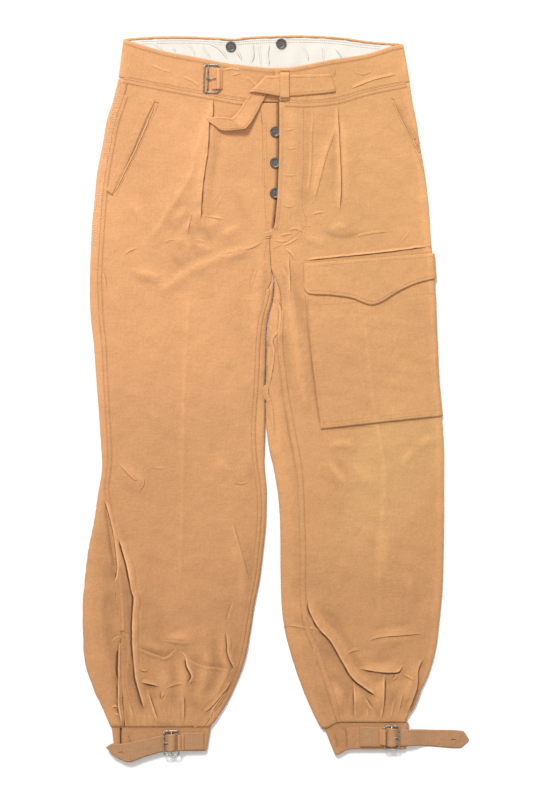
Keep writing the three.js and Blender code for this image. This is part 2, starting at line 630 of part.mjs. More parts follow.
// The thigh pocket runs from its front edge round the leg's outer edge, where it ends.
const pocketFront = table(['y', 'x'], [[186, 41.5], [151, 43], [99, 47], [-2, 60], [-44, 65]]);
const pocketFoot = table(['x', 'y'], [[41, -46], [65, -44], [150, -34.5], [241, -25]]);
const flapTop = table(['x', 'y'], [[41, 196], [130, 203], [229, 211]]);
const flapFoot = table(['x', 'y'], [
  [41, 160], [47, 152.5], [78, 150.5], [110, 146], [142, 136.5], [182, 158], [204, 167.5], [232, 175],
]);
const pocketWall = 1.4;
const pocketTopY = 185;
const pocketFootY = -44;
const pocketOuterX = 236;
const flapStartX = 41;
function pocketGrid(offset, rows, cols, startX, heightAt) {
  return rows.map((v) => {
    const edgeY = heightAt(pocketOuterX, v);
    const depth = -offset(pocketOuterX, edgeY);
    const wrapped = [edgeTurn, edgeTurn * 0.2].map((turn) => ringPoint(leftLeg, edgeY, 'outer', turn, depth));
    const from = startX(v);
    const flat = steps(cols).slice(0, -1).map((share) => {
      const x = mix(from, wrapped[0][0], share);
      const y = heightAt(x, v);
      return [x, y, topHeight(x, y, leftLeg) + offset(x, y)];
    });
    const turned = wrapped.map(([x, z]) => {
      const y = heightAt(x, v);
      return [x, y, z + clothLift(x, y) * liftShare(z)];
    });
    return [...flat, ...turned];
  });
}
function thighPocket() {
  const heightAt = (x, v) => mix(curveY(pocketFoot, x), pocketTopY, v);
  const startX = (v) => read(pocketFront, 'y', 'x', mix(pocketFootY, pocketTopY, v));
  const grid = (lift) => pocketGrid(() => layerGap + lift, steps(11), 12, startX, heightAt);
  return shell(grid(pocketWall), grid(0));
}
// The flap is sewn down above the patch's top edge, from which it rises over the patch. Its slope follows
// its top.
const flapRise = { sewnY: 206, clearY: 191, slope: 0.08, spare: 0.3 };
function thighFlap() {
  const heightAt = (x, v) => mix(curveY(flapFoot, x), curveY(flapTop, x), v);
  const overPatch = 2 * layerGap + pocketWall + flapRise.spare;
  const down = (x, y) => ease(flapRise.clearY, flapRise.sewnY, y - (x - flapStartX) * flapRise.slope);
  const stand = (x, y) => mix(overPatch, layerGap, down(x, y));
  const grid = (lift) => pocketGrid((x, y) => stand(x, y) + lift, steps(5), 14, () => flapStartX, heightAt);
  return shell(grid(clothWall), grid(0));
}
addPiece('thigh_pocket', thighPocket(), sand);
addPiece('thigh_pocket_flap', thighFlap(), sand);

// Ankle cuffs: flattened bands, each open at one place, the right one on the top face and the left one
// beneath. The band starts beside its opening, turns round its first edge, and comes back round the other.
const rightCuff = {
  topY: -472, footY: -510.5, first: [-94.5, -100], second: [-238, -234], face: 1, opening: [-223, -226],
  droop: 0,
};
const leftCuff = {
  topY: -470, footY: -508, first: [71, 86], second: [193, 189], face: -1, opening: [166, 171],
  droop: 9,
};
const cuffRound = 5;
const droopReach = 26;
function cuff(size) {
  const half = cuffHeight / 2;
  const angles = [1, 0.5, 0, -0.5, -1].map((share) => (share * Math.PI) / 2);
  const grid = (depth) => steps(3).map((v) => {
    const first = mix(size.first[0], size.first[1], v);
    const second = mix(size.second[0], size.second[1], v);
    const towards = Math.sign(second - first);
    const turn = (edge, inward, angle) => [
      edge + inward * (cuffRound - (cuffRound - depth) * Math.cos(angle)),
      half + (half - depth) * Math.sin(angle * size.face),
    ];
    const flat = (from, to, count, face) => steps(count).slice(1, -1).map((share) => [
      mix(from, to, share), half + face * (half - depth),
    ]);
    const start = [size.opening[0], half + size.face * (half - depth)];
    const end = [size.opening[1], start[1]];
    const nearEdge = first + towards * cuffRound;
    const farEdge = second - towards * cuffRound;
    const round = [
      start,
      ...flat(start[0], nearEdge, 6, size.face),
      ...angles.map((angle) => turn(first, towards, angle)),
      ...flat(nearEdge, farEdge, 7, -size.face),
      ...[...angles].reverse().map((angle) => turn(second, -towards, angle)),
      ...flat(farEdge, end[0], 3, size.face),
      end,
    ];
    return round.map(([x, z]) => {
      const lowEdge = Math.min(first, second);
      const sag = size.droop * (1 - ease(0, droopReach, x - lowEdge)) ** 1.5;
      return [x, mix(size.topY, size.footY, v) - sag, z];
    });
  });
  return shell(grid(0), grid(bandWall));
}
addPiece('cuff_right', cuff(rightCuff), sandShade);
addPiece('cuff_left', cuff(leftCuff), sandShade);

// Cuff straps, each sewn to its cuff, with a pointed tail. A strap runs under the buckle's end bars and
// over its bar.
const cuffTop = cuffHeight + layerGap + beltWall / 2;
const overBar = cuffTop + beltWall + 2 * layerGap + wireSize;
const floorTop = beltWall / 2;
const rightCuffStrap = table(strapNames, [
  [-104, -509, cuffTop, -104, -483, cuffTop],
  [-122, -509.6, cuffTop, -122, -483.4, cuffTop],
  [-142.8, -510.3, cuffTop, -142.4, -484.5, cuffTop],
  [-149, -510.6, overBar, -148.6, -485, overBar],
  [-153.4, -510.8, overBar, -153, -485.5, overBar],
  [-159.6, -511.2, cuffTop, -159.2, -486.5, cuffTop],
  [-167, -512.4, cuffTop, -168, -488, cuffTop],
  [-190, -519, cuffTop, -195, -494, cuffTop],
  [-212, -526.8, cuffTop, -224, -499.5, cuffTop],
  [-223, -523.6, cuffTop, -237, -499.5, cuffTop],
  [-236, -516.5, cuffTop, -246.4, -505, cuffTop],
]);
const leftCuffStrap = table(strapNames, [
  [122, -504.5, cuffTop, 122, -474.5, cuffTop],
  [150, -504.5, cuffTop, 150, -475.2, cuffTop],
  [159.8, -504.2, cuffTop, 159.8, -476, cuffTop],
  [165.4, -504, overBar, 165.4, -476.5, overBar],
  [170.6, -503.8, overBar, 170.6, -477.2, overBar],
  [176.4, -503.6, cuffTop, 176.4, -478, cuffTop],
  [186, -503.4, cuffTop, 186, -478.6, cuffTop],
  [194, -503, cuffTop, 194, -479, cuffTop],
  [202, -503, cuffTop - 1.8, 202, -479.3, cuffTop - 1.8],
  [212, -503.5, 2.8, 212, -479.8, 2.8],
  [222, -504.3, floorTop, 222, -480.3, floorTop],
  [268, -507, floorTop, 272, -482.4, floorTop],
  [275, -502, floorTop, 277.4, -489, floorTop],
  [279.4, -498, floorTop, 280.7, -494.5, floorTop],
]);
addPiece('cuff_strap_right', strap(rightCuffStrap, beltWall), sand);
addPiece('cuff_strap_left', strap(leftCuffStrap, beltWall), sand);

// Ankle buckles with the tabs that hold them
const keeper = { rise: 0.6, halfWidth: 11.5, foot: 7, wall: 1.1 };
const ankleBuckles = table(['name', 'x', 'y', 'width', 'length', 'tilt', 'tabSide'], [
  ['right', -151, -498.4, 24, 37, 0, 1],
  ['left', 168, -490.6, 23, 36, 0, -1],
]);
ankleBuckles.forEach(({ name, x, y, width, length, tilt, tabSide }) => {
  const base = cuffHeight + 2 * layerGap + beltWall;
  const wire = buckle(width, length, 0.5).rotateZ(tilt).translate(x, y, base);
  addPiece(`cuff_buckle_${name}`, wire, steelGrey, 0.35, 0.9);
  const barX = x + tabSide * (width / 2 - wireSize / 2);
  addPiece(`cuff_tab_${name}`, buckleTab({
    barX, centreY: y + keeper.rise, halfWidth: keeper.halfWidth, base, outward: tabSide,
    outerFoot: keeper.foot, innerFoot: 0, wall: keeper.wall,
  }), sand);
});

export default model;
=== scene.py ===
import bpy
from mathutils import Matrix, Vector
import numpy as np


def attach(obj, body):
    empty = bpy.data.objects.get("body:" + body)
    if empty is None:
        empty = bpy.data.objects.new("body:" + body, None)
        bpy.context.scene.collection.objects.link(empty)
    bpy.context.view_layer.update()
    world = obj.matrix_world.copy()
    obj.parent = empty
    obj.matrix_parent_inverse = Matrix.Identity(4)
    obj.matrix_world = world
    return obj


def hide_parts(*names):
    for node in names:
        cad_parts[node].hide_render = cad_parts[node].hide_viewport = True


# Paratrooper trousers laid flat on their back: the cloth, sewing and fittings over the CAD part.
# Shapes are worked out in millimetres, right and left are the wearer's, and Y runs towards the waist.
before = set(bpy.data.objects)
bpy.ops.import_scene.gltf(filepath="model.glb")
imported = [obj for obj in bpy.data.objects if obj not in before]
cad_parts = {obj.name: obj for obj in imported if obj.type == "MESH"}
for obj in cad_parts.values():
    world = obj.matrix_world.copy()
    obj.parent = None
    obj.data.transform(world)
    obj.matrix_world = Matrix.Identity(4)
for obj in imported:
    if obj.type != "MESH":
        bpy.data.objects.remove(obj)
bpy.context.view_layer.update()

# Sizes shared with the part, in millimetres
clothWall = 1.6
bandWall = 1.8
liningWall = 1.2
seamGap = 0.3
layerGap = 0.4
legHeight = 5.6
cuffHeight = 7
edgeRound = 6
edgeTurn = 7
midHeight = legHeight / 2
flyOverlapLift = 4.8
flyOverlapReach = 46
flyShelf = 13
bartackY = 236
flyFreeY = 286
buttonRadius = 7.7
buttonHeight = 2.2
beltWall = 1.5
wireRadius = 1.1
crotchTop = 186
crotchEnd = 158
hipStraight = 330
cuffSeamY = -471

# How the scene draws folds: spread, sharpness, the length over which they fade, and their strength, with the
# strength of their painted shade
cuffFade = 26
foldTaper = 22
foldSpread = 1.35
foldCrest = 1.55
ridgeSpread = 1.5
creaseSink = 0.5
creaseShade = 0.22
shadeStrength = 1.35
lowestLift = -1.3

# The sewing thread
threadRadius = 0.34
stitchPitch = 3.1
stitchLength = 2.5


# The value that lies a share of the way from start to end
def mix(start, end, share):
    return start + (end - start) * share


# A smooth step, 3s^2 - 2s^3, where s is the clipped share of the way from start to end
def ease(start, end, value):
    share = np.clip((value - start) / (end - start), 0, 1)
    return share * share * (3 - 2 * share)


# Smooth reading of a table's column: a cubic through the rows, its slopes from the rows on either side.
def read(rows, key, column, at):
    rows = rows if rows[0, key] < rows[-1, key] else rows[::-1]
    place = rows[:, key]
    value = rows[:, column]
    slope = np.empty(len(place))
    slope[1:-1] = (value[2:] - value[:-2]) / (place[2:] - place[:-2])
    slope[0] = (value[1] - value[0]) / (place[1] - place[0])
    slope[-1] = (value[-1] - value[-2]) / (place[-1] - place[-2])
    at = np.clip(at, place[0], place[-1])
    i = np.clip(np.searchsorted(place, at) - 1, 0, len(place) - 2)
    span = place[i + 1] - place[i]
    s = (at - place[i]) / span
    ends = value[i] * (1 + 2 * s) * (1 - s) ** 2 + value[i + 1] * s * s * (3 - 2 * s)
    return ends + span * s * (1 - s) * (slope[i] * (1 - s) - slope[i + 1] * s)


# The legs' outlines: y, outer edge, inner edge, and how far inside each edge the seam lies on the top face
rightLeg = np.array([
    (466, -228, -20, 15, 0), (433, -236, -20, 15, 0), (404, -245, -17, 15, 0), (369, -251, -15, 15, 0),
    (329, -259, -13, 15, 0), (288, -263, -12, 15, 0), (264, -265.5, -11, 15, 0), (248, -267, -3.2, 15, 0),
    (233, -267.5, -8.2, 15, 0), (210, -268.5, -8.2, 15, 0), (186, -269.5, -6.2, 15, 0),
    (172, -270, -2.8, 15, 3), (158, -270, -3.2, 15, 8), (143, -270, -4.8, 15, 9), (114, -268, -12, 15, 10),
    (78, -264, -14, 15, 11), (33, -261, -15, 14, 12), (-37, -256, -15.5, 13, 16), (-77, -253, -16, 12, 14),
    (-100, -252, -16, 10, 12), (-138, -258, -13, 11, 10), (-179, -264, -14, 25, 9), (-219, -272, -18, 38, 9),
    (-260, -277, -23, 50, 9), (-301, -280.5, -31, 56, 9), (-341, -280, -37, 57, 9),
    (-382, -277, -45, 47, 10), (-422, -264, -61, 38, 10), (-443, -253, -73, 29, 10),
    (-471.6, -240, -94, 18, 10),
])
leftLeg = np.array([
    (459, 194.5, 5, -14, 0), (433, 198, 5, -14, 0), (404, 204, 5, -14, 0), (369, 209, 5, -14, 0),
    (329, 216, 4, -14, 0), (288, 221, 2, -14, 0), (264, 223, -0.5, -14, 0), (248, 224, -2.6, -14, 0),
    (233, 225, -7.8, -14, 0), (210, 227, -7.8, -14, 0), (186, 228.5, -5.8, -14, 0),
    (172, 229.5, -2.2, -14, 3), (158, 230, -2.4, -14, 8), (143, 231, -4.2, -14, 12), (114, 232, -11, -14, 16),
    (78, 233.5, -13, -14, 16), (26, 236, -14, -14, 23), (-37, 242, -14.5, -14, 32), (-77, 244, -9, -14, 34),
    (-98, 244, -4, -14, 33), (-138, 244, 3, -14, 33), (-179, 244, 6, -14, 32), (-269, 242, 7, -14, 31),
    (-325, 237, 11, -14, 33), (-364, 232, 20, -14, 35), (-402, 221, 32, -14, 37), (-437, 203, 46, -14, 33),
    (-469.6, 188, 66, -14, 24),
])
centreBack = np.array([(476, 0), (330, 0), (248, -3), (210, -6), (186, -6), (172, -2.5)], float)

# Curves across the waist, x and y
frontSeam = np.array([
    (-228, 466), (-177, 456), (-130, 447), (-91, 440), (-60, 434), (-20, 430.5), (20, 429.5), (45, 429.5),
    (90, 434), (131, 446), (194.5, 459),
])
backSeam = np.array([(-228, 466), (-100, 473), (0, 476), (100, 470), (194.5, 459)])
frontTop = np.array([
    (-221, 522), (-201, 515), (-162, 504), (-115, 495), (-74, 487), (-36, 482), (2, 479), (20, 479.5),
    (48, 485), (80, 491.5), (131, 499.5), (170, 511.5), (185, 515),
])
backTop = np.array([
    (-221, 522), (-177, 525), (-130, 525.3), (-83, 523.5), (-60, 522), (-42, 524.5), (6, 526.4),
    (48, 526.6), (98, 523.5), (131, 518.8), (170, 515.5), (185, 515),
])

# Soft folds of the cloth: height, spread towards lower and higher X, path
softFolds = [
    (3.4, 30, 11, [(-91, 436), (-93, 400), (-99, 355), (-106, 305), (-110, 245)]),
    (1.6, 20, 20, [(-97, 415), (-118, 360), (-140, 305), (-172, 262), (-196, 236)]),
    (3.2, 11, 26, [(90, 430), (95, 366), (97, 311), (95, 262)]),
    (1.6, 16, 18, [(88, 408), (73, 361), (62, 330), (53, 285), (52, 262)]),
    (2.8, 20, 12, [(-24, 228), (-28, 180), (-30, 110), (-26, 60), (-29, 20), (-34, -24)]),
    (3, 15, 15, [(16, 205), (19, 160), (24, 113), (32, 62), (39, 14), (46, -30)]),
    (2.2, 9, 9, [(3, 146), (7, 128), (6, 100), (-1, 84), (0, 62), (-3, 26), (-4, -20)]),
    (1.6, 15, 15, [(-222, 300), (-196, 268), (-176, 240)]),
    (2.4, 16, 16, [(-232, -82), (-205, -112), (-178, -126)]),
    (2, 18, 18, [(-60, -60), (-86, -104), (-118, -132)]),
    (8, 9, 34, [(-226, -205), (-214, -252), (-206, -301), (-206, -350), (-202, -408), (-190, -452)]),
    (4, 20, 16, [(-250, -130), (-258, -190), (-264, -250), (-264, -330), (-250, -405), (-236, -452)]),
    (4, 20, 14, [(-62, -175), (-50, -240), (-50, -296), (-58, -330)]),
    (3, 14, 14, [(-158, -360), (-134, -348), (-110, -352)]),
    (5, 14, 12, [(-170, -372), (-160, -412), (-164, -460)]),
    (5.4, 13, 13, [(-138, -360), (-132, -400), (-138, -462)]),
    (5, 13, 13, [(-106, -340), (-100, -392), (-112, -434), (-116, -462)]),
    (6, 14, 13, [(-76, -318), (-70, -366), (-70, -396), (-86, -434), (-100, -460)]),
    (2, 17, 17, [(96, -86), (132, -112), (176, -118)]),
    (2.6, 18, 18, [(168, -150), (158, -220), (160, -290)]),
    (6, 16, 18, [(47, -280), (58, -322), (84, -356), (97, -390), (116, -412), (144, -436)]),
    (3, 14, 14, [(134, -352), (168, -346), (206, -342)]),
    (3.4, 12, 12, [(122, -390), (150, -396), (188, -386)]),
    (4.6, 12, 12, [(84, -404), (92, -440), (97, -462)]),
    (5, 11, 11, [(116, -412), (118, -440), (121, -462)]),
    (5, 12, 12, [(152, -398), (152, -436), (146, -462)]),
    (4.4, 12, 12, [(202, -360), (200, -402), (186, -440), (172, -460)]),
]

# Finer ridges, such as pressed creases and pleat lines: height, spread towards lower and higher X, how
# sharp the crest is (2 is soft), path
fineRidges = [
    (0.9, 6, 6, 1.3, [(-126, 161), (-134, -13), (-136, -157), (-140, -290)]),
    (0.9, 6, 6, 1.3, [(127, 136), (141, -2), (158, -112), (150, -224), (153, -335)]),
    (1.1, 7, 5, 1.4, [(-91, 430), (-114, 361), (-124, 323), (-154, 274), (-174, 243), (-197, 216)]),
    (0.9, 6, 6, 1.4, [(91, 411), (73, 361), (61, 322), (52, 275)]),
    (1.1, 3, 8, 1.4, [(93, 427), (98, 361), (100, 311), (98, 268)]),
    (1.1, 8, 3, 1.4, [(-95, 438), (-97, 411), (-102, 398), (-104, 361), (-111, 311), (-114, 256)]),
    (0.8, 6, 4, 1.4, [(-13, 230), (-20, 188), (-21, 110), (-13, 62), (-20, 32), (-25, -16)]),
    (0.9, 6, 4, 1.4, [(19, 197), (22, 137), (26, 112), (37, 38), (49, -28)]),
    (1.2, 3, 7, 1.5, [(-245, -147), (-237, -176), (-229, -205), (-227, -237), (-227, -257)]),
    (1.3, 3, 8, 1.5, [(-217, -222), (-208, -248), (-203, -277), (-199, -292), (-203, -353), (-197, -408),
                      (-185, -446)]),
    (1.6, 6, 6, 1.5, [(-204, -350), (-182, -357), (-161, -364), (-146, -356)]),
    (1, 6, 5, 1.5, [(-166, -348), (-145, -347), (-121, -351)]),
    (1.4, 8, 3, 1.5, [(-79, -330), (-78, -372), (-69, -390), (-72, -402), (-87, -427), (-116, -448)]),
    (2.2, 3, 8, 1.4, [(52, -289), (55, -306), (69, -330), (90, -354), (105, -380), (118, -401), (153, -425)]),
    (1.2, 6, 5, 1.5, [(134, -345), (161, -338), (215, -334)]),
    (1, 5, 6, 1.5, [(121, -385), (148, -390), (174, -390)]),
    (0.7, 6, 6, 1.5, [(69, -69), (93, -64), (122, -69)]),
    (0.6, 6, 6, 1.5, [(71, -77), (83, -100), (98, -121), (105, -135)]),
    (0.6, 7, 7, 1.5, [(-188, 100), (-168, 76), (-150, 68)]),
    (0.6, 7, 7, 1.5, [(-95, -82), (-69, -103), (-43, -109)]),
    (0.7, 8, 8, 1.6, [(-197, -8), (-171, -25), (-145, -19)]),
    (0.7, 8, 8, 1.6, [(173, -82), (195, -103), (221, -109)]),
    (0.6, 7, 7, 1.6, [(-66, -205), (-63, -256), (-69, -301)]),
    (0.7, 7, 7, 1.6, [(100, -234), (90, -274), (93, -309)]),
    (0.8, 7, 7, 1.6, [(186, -234), (195, -277), (189, -318)]),
    (0.7, 7, 7, 1.6, [(-168, -234), (-171, -280), (-162, -321)]),
    (0.7, 7, 7, 1.6, [(-103, -292), (-104, -335), (-98, -372)]),
    (1.8, 8, 8, 1.25, [(-153, 250), (-136, 268), (-123, 285)]),
    (1.8, 8, 8, 1.25, [(-142, 233), (-124, 253), (-110, 268)]),
    (2.2, 9, 9, 1.3, [(-182, 152), (-153, 166), (-124, 187), (-82, 204), (-47, 216), (-20, 230)]),
    (1.8, 8, 8, 1.3, [(-161, 226), (-146, 229), (-130, 229), (-126, 214), (-119, 195)]),
    (1.6, 8, 8, 1.3, [(-223, 190), (-190, 182), (-149, 173)]),
    (1.6, 8, 8, 1.3, [(-127, 229), (-103, 219), (-82, 209)]),
    (1.8, 8, 8, 1.25, [(-103, 242), (-90, 256), (-72, 266)]),
    (1.8, 8, 8, 1.25, [(-139, 279), (-116, 265), (-92, 242)]),
    (1.8, 8, 8, 1.25, [(-87, 236), (-63, 245), (-43, 259)]),
    (1.8, 8, 8, 1.25, [(73, 242), (90, 250), (111, 250)]),
    (1.8, 8, 8, 1.25, [(35, 236), (58, 230), (79, 221)]),
    (1.8, 8, 8, 1.25, [(69, -71), (93, -66), (125, -70)]),
    (1.8, 8, 8, 1.25, [(71, -80), (83, -100), (98, -121), (106, -138)]),
    (1.8, 8, 8, 1.25, [(195, -69), (215, -63), (238, -54)]),
    (1.8, 8, 8, 1.25, [(177, -103), (192, -83), (206, -70)]),
    (1.8, 8, 8, 1.25, [(-11, -71), (0, -77), (11, -76)]),
]

# Folded creases: how high their lip stands, how far it reaches, the side it is on (1 is to the left of the
# path's run), how much painted shade the fold beneath gets, and the path
creaseLips = [
    (1.7, 12, -1, 0.75, [(-91, 438), (-91, 411), (-96, 401), (-98, 361), (-105, 311), (-109, 253)]),
    (1.5, 11, -1, 0.65, [(90, 428), (93, 361), (95, 311), (93, 268)]),
    (0.8, 9, -1, 0.2, [(95, 409), (77, 361), (66, 322), (55, 281)]),
    (2.6, 13, 1, 1.2, [(-229, -199), (-223, -219), (-216, -243), (-209, -277), (-206, -290), (-208, -321),
                       (-208, -352), (-206, -379), (-203, -407), (-197, -430), (-190, -454)]),
    (1.7, 9, 1, 1.1, [(-250, -142), (-245, -158), (-240, -176), (-235, -202), (-231, -234), (-231, -253),
                      (-237, -273)]),
    (1.6, 7, 1, 1.2, [(-224, -354), (-228, -364), (-229, -408), (-229, -444), (-227, -457), (-223, -479)]),
    (1.1, 9, -1, 0.4, [(-203, -359), (-182, -367), (-162, -374), (-150, -367), (-140, -361)]),
    (1.5, 9, 1, 1, [(-142, -367), (-133, -373), (-129, -388), (-123, -402), (-127, -411), (-130, -421)]),
    (1.6, 10, 1, 0.9, [(-202, -409), (-182, -414), (-163, -419)]),
    (1.2, 8, 1, 0.8, [(-163, -419), (-166, -427), (-166, -434), (-159, -435)]),
    (1.3, 9, -1, 0.9, [(-186, -420), (-182, -431), (-177, -446), (-167, -476)]),
    (1.6, 10, 1, 0.9, [(-73, -332), (-71, -353), (-70, -369), (-65, -382), (-61, -392), (-62, -401)]),
    (1.5, 10, -1, 0.7, [(-63, -401), (-68, -417), (-79, -431), (-92, -446), (-108, -459)]),
    (1.2, 9, -1, 0.7, [(-134, -422), (-132, -448), (-134, -477)]),
    (0.8, 7, 1, 0.4, [(-163, -464), (-150, -470), (-136, -476)]),
    (0.8, 7, 1, 0.4, [(-149, -443), (-150, -460), (-148, -475)]),
    (0.8, 7, -1, 0.4, [(-116, -454), (-111, -467), (-108, -475)]),
    (0.9, 8, 1, 0.5, [(-95, -437), (-92, -457), (-98, -475)]),
    (1, 8, 1, 0.6, [(-94, -472), (-91, -454), (-78, -434), (-69, -422)]),
    (0.8, 7, 1, 0.4, [(-187, -451), (-184, -466), (-182, -475)]),
    (0.8, 9, -1, 0.35, [(-166, -351), (-145, -350), (-121, -355)]),
    (0.8, 9, -1, 0.35, [(-142, -367), (-110, -385), (-78, -390), (-62, -398)]),
    (0.8, 8, 1, 0.4, [(-162, -422), (-150, -417), (-136, -414), (-127, -419)]),
    (0.9, 10, -1, 0.45, [(-72, -330), (-68, -306), (-58, -286)]),
    (0.7, 10, -1, 0.35, [(-63, -176), (-53, -209), (-43, -245), (-36, -272)]),
    (2.2, 12, 1, 1, [(46, -289), (49, -309), (63, -334), (74, -345), (84, -359), (91, -372), (98, -384),
                     (111, -405), (128, -419), (150, -434)]),
    (1.6, 10, 1, 0.95, [(119, -391), (148, -396), (176, -397), (183, -390), (190, -385)]),
    (0.9, 7, 1, 0.7, [(177, -397), (173, -402), (167, -411)]),
    (0.8, 7, 1, 0.6, [(181, -398), (193, -405), (205, -411)]),
    (0.9, 9, 1, 0.5, [(131, -353), (145, -348), (161, -345), (187, -343), (216, -341)]),
    (1.4, 9, -1, 0.9, [(158, -398), (158, -425), (156, -452), (151, -473)]),
    (1, 8, 1, 0.7, [(112, -408), (113, -440), (114, -473)]),
    (0.9, 8, -1, 0.6, [(126, -424), (135, -440), (149, -461)]),
    (1.3, 9, -1, 0.7, [(216, -374), (207, -393), (206, -415), (199, -437), (190, -460)]),
    (0.5, 8, 1, 0.4, [(11, -329), (35, -332), (64, -336)]),
    (0.8, 7, 1, 0.4, [(90, -440), (93, -457), (96, -476)]),
    (0.8, 7, -1, 0.4, [(131, -443), (135, -457), (134, -473)]),
    (0.8, 7, -1, 0.4, [(173, -434), (170, -454), (167, -473)]),
    (0.8, 8, -1, 0.4, [(186, -422), (182, -441), (177, -463)]),
    (0.7, 8, 1, 0.35, [(100, -373), (111, -367), (125, -364)]),
    (0.6, 8, -1, 0.35, [(64, -350), (58, -364), (61, -382)]),
    (0.9, 8, -1, 0.6, [(-1, 149), (8, 130), (6, 101), (-4, 85), (-1, 68), (-7, 26), (-11, 13)]),
    (0.6, 8, -1, 0.4, [(-7, 26), (-11, 10), (-5, -9), (-1, -54)]),
    (0.6, 6, 1, 0.5, [(-5, 230), (8, 227), (21, 229)]),
    (0.5, 6, 1, 0.35, [(34, 255), (41, 250), (48, 249)]),
    (0.8, 8, 1, 0.5, [(-230, -92), (-220, -103), (-208, -116), (-201, -119), (-194, -119)]),
    (0.5, 6, 1, 0.3, [(-191, -113), (-194, -125), (-200, -137)]),
    (0.4, 6, 1, 0.3, [(-242, -274), (-236, -280), (-232, -292)]),
    (0.4, 6, 1, 0.3, [(8, 391), (18, 388), (31, 391)]),
    (0.4, 6, 1, 0.3, [(8, 364), (21, 361), (35, 365)]),
    (0.4, 6, 1, 0.3, [(8, 324), (21, 322), (35, 324)]),
    (0.4, 6, 1, 0.3, [(6, 281), (18, 277), (31, 279)]),
    (0.6, 5, 1, 0.9, [(-176, 429), (-190, 395), (-205, 361), (-222, 327), (-237, 295)]),
    (0.6, 5, -1, 0.9, [(173, 433), (187, 404), (199, 380), (209, 355)]),
    (1.2, 6, 1, 1, [(40, 200), (100, 206), (166, 213), (225, 221)]),
    (0.8, 8, -1, 0.4, [(-17, 229), (-32, 219), (-50, 214)]),
    (0.8, 8, 1, 0.4, [(-26, 198), (-34, 178), (-40, 155)]),
    (0.8, 8, 1, 0.4, [(9, 220), (21, 210), (31, 195)]),
    (0.7, 8, -1, 0.35, [(5, 198), (15, 185), (22, 166)]),
    (0.7, 8, 1, 0.35, [(0, 250), (-11, 243), (-24, 239)]),
    (0.7, 8, 1, 0.35, [(15, 242), (29, 245), (44, 239)]),
    (0.5, 7, -1, 0.3, [(55, 419), (53, 375), (52, 337), (47, 291)]),
    (0.9, 8, -1, 0.7, [(-120, 274), (-124, 256), (-129, 233)]),
    (0.8, 8, 1, 0.55, [(-223, 206), (-210, 214), (-195, 220)]),
    (0.6, 7, 1, 0.2, [(-163, 224), (-153, 229), (-142, 229)]),
    (0.6, 7, -1, 0.22, [(-130, 219), (-126, 207), (-119, 195)]),
    (0.5, 7, 1, 0.2, [(-121, 229), (-110, 228), (-98, 224)]),
    (0.7, 7, 1, 0.45, [(-105, 265), (-91, 262), (-69, 259)]),
    (0.6, 8, -1, 0.2, [(-91, 274), (-79, 295), (-69, 300)]),
    (0.5, 8, 1, 0.14, [(-82, 208), (-63, 212), (-47, 216)]),
    (0.7, 8, -1, 0.4, [(-255, 187), (-249, 181), (-246, 169), (-245, 152)]),
    (0.6, 8, 1, 0.35, [(-266, 190), (-258, 187), (-246, 189)]),
    (0.6, 7, 1, 0.35, [(47, 265), (61, 268), (76, 271)]),
    (0.6, 8, 1, 0.3, [(111, 233), (140, 239), (169, 242)]),
    (0.6, 8, -1, 0.3, [(177, 221), (186, 236), (198, 248)]),
    (0.5, 7, 1, 0.14, [(-182, -99), (-171, -102), (-156, -102)]),
    (0.7, 7, -1, 0.5, [(-62, -119), (-52, -121), (-37, -119)]),
    (1, 6, 1, 0.8, [(-239, -450), (-233, -447), (-226, -450)]),
    (0.9, 6, 1, 0.7, [(-237, -458), (-230, -459), (-224, -463)]),
    (0.8, 6, 1, 0.6, [(-236, -466), (-229, -469), (-223, -475)]),
    (0.8, 6, -1, 0.5, [(-130, -469), (-119, -473), (-105, -475)]),
    (0.8, 6, 1, 0.5, [(-121, -460), (-124, -469), (-123, -476)]),
    (0.9, 8, -1, 0.5, [(-213, -437), (-207, -454), (-203, -475)]),
    (0.8, 7, -1, 0.45, [(-163, -437), (-159, -454), (-153, -476)]),
    (0.8, 7, -1, 0.6, [(19, 211), (21, 179), (22, 145)]),
    (0.7, 6, 1, 0.5, [(2, 236), (15, 237), (29, 240)]),
    (0.7, 6, 1, 0.4, [(2, 221), (19, 224), (38, 236)]),
    (0.7, 8, -1, 0.5, [(-239, -360), (-238, -351), (-233, -345), (-224, -343), (-217, -348)]),
    (1, 9, 1, 0.6, [(-201, -385), (-195, -393), (-188, -395), (-182, -390)]),
]
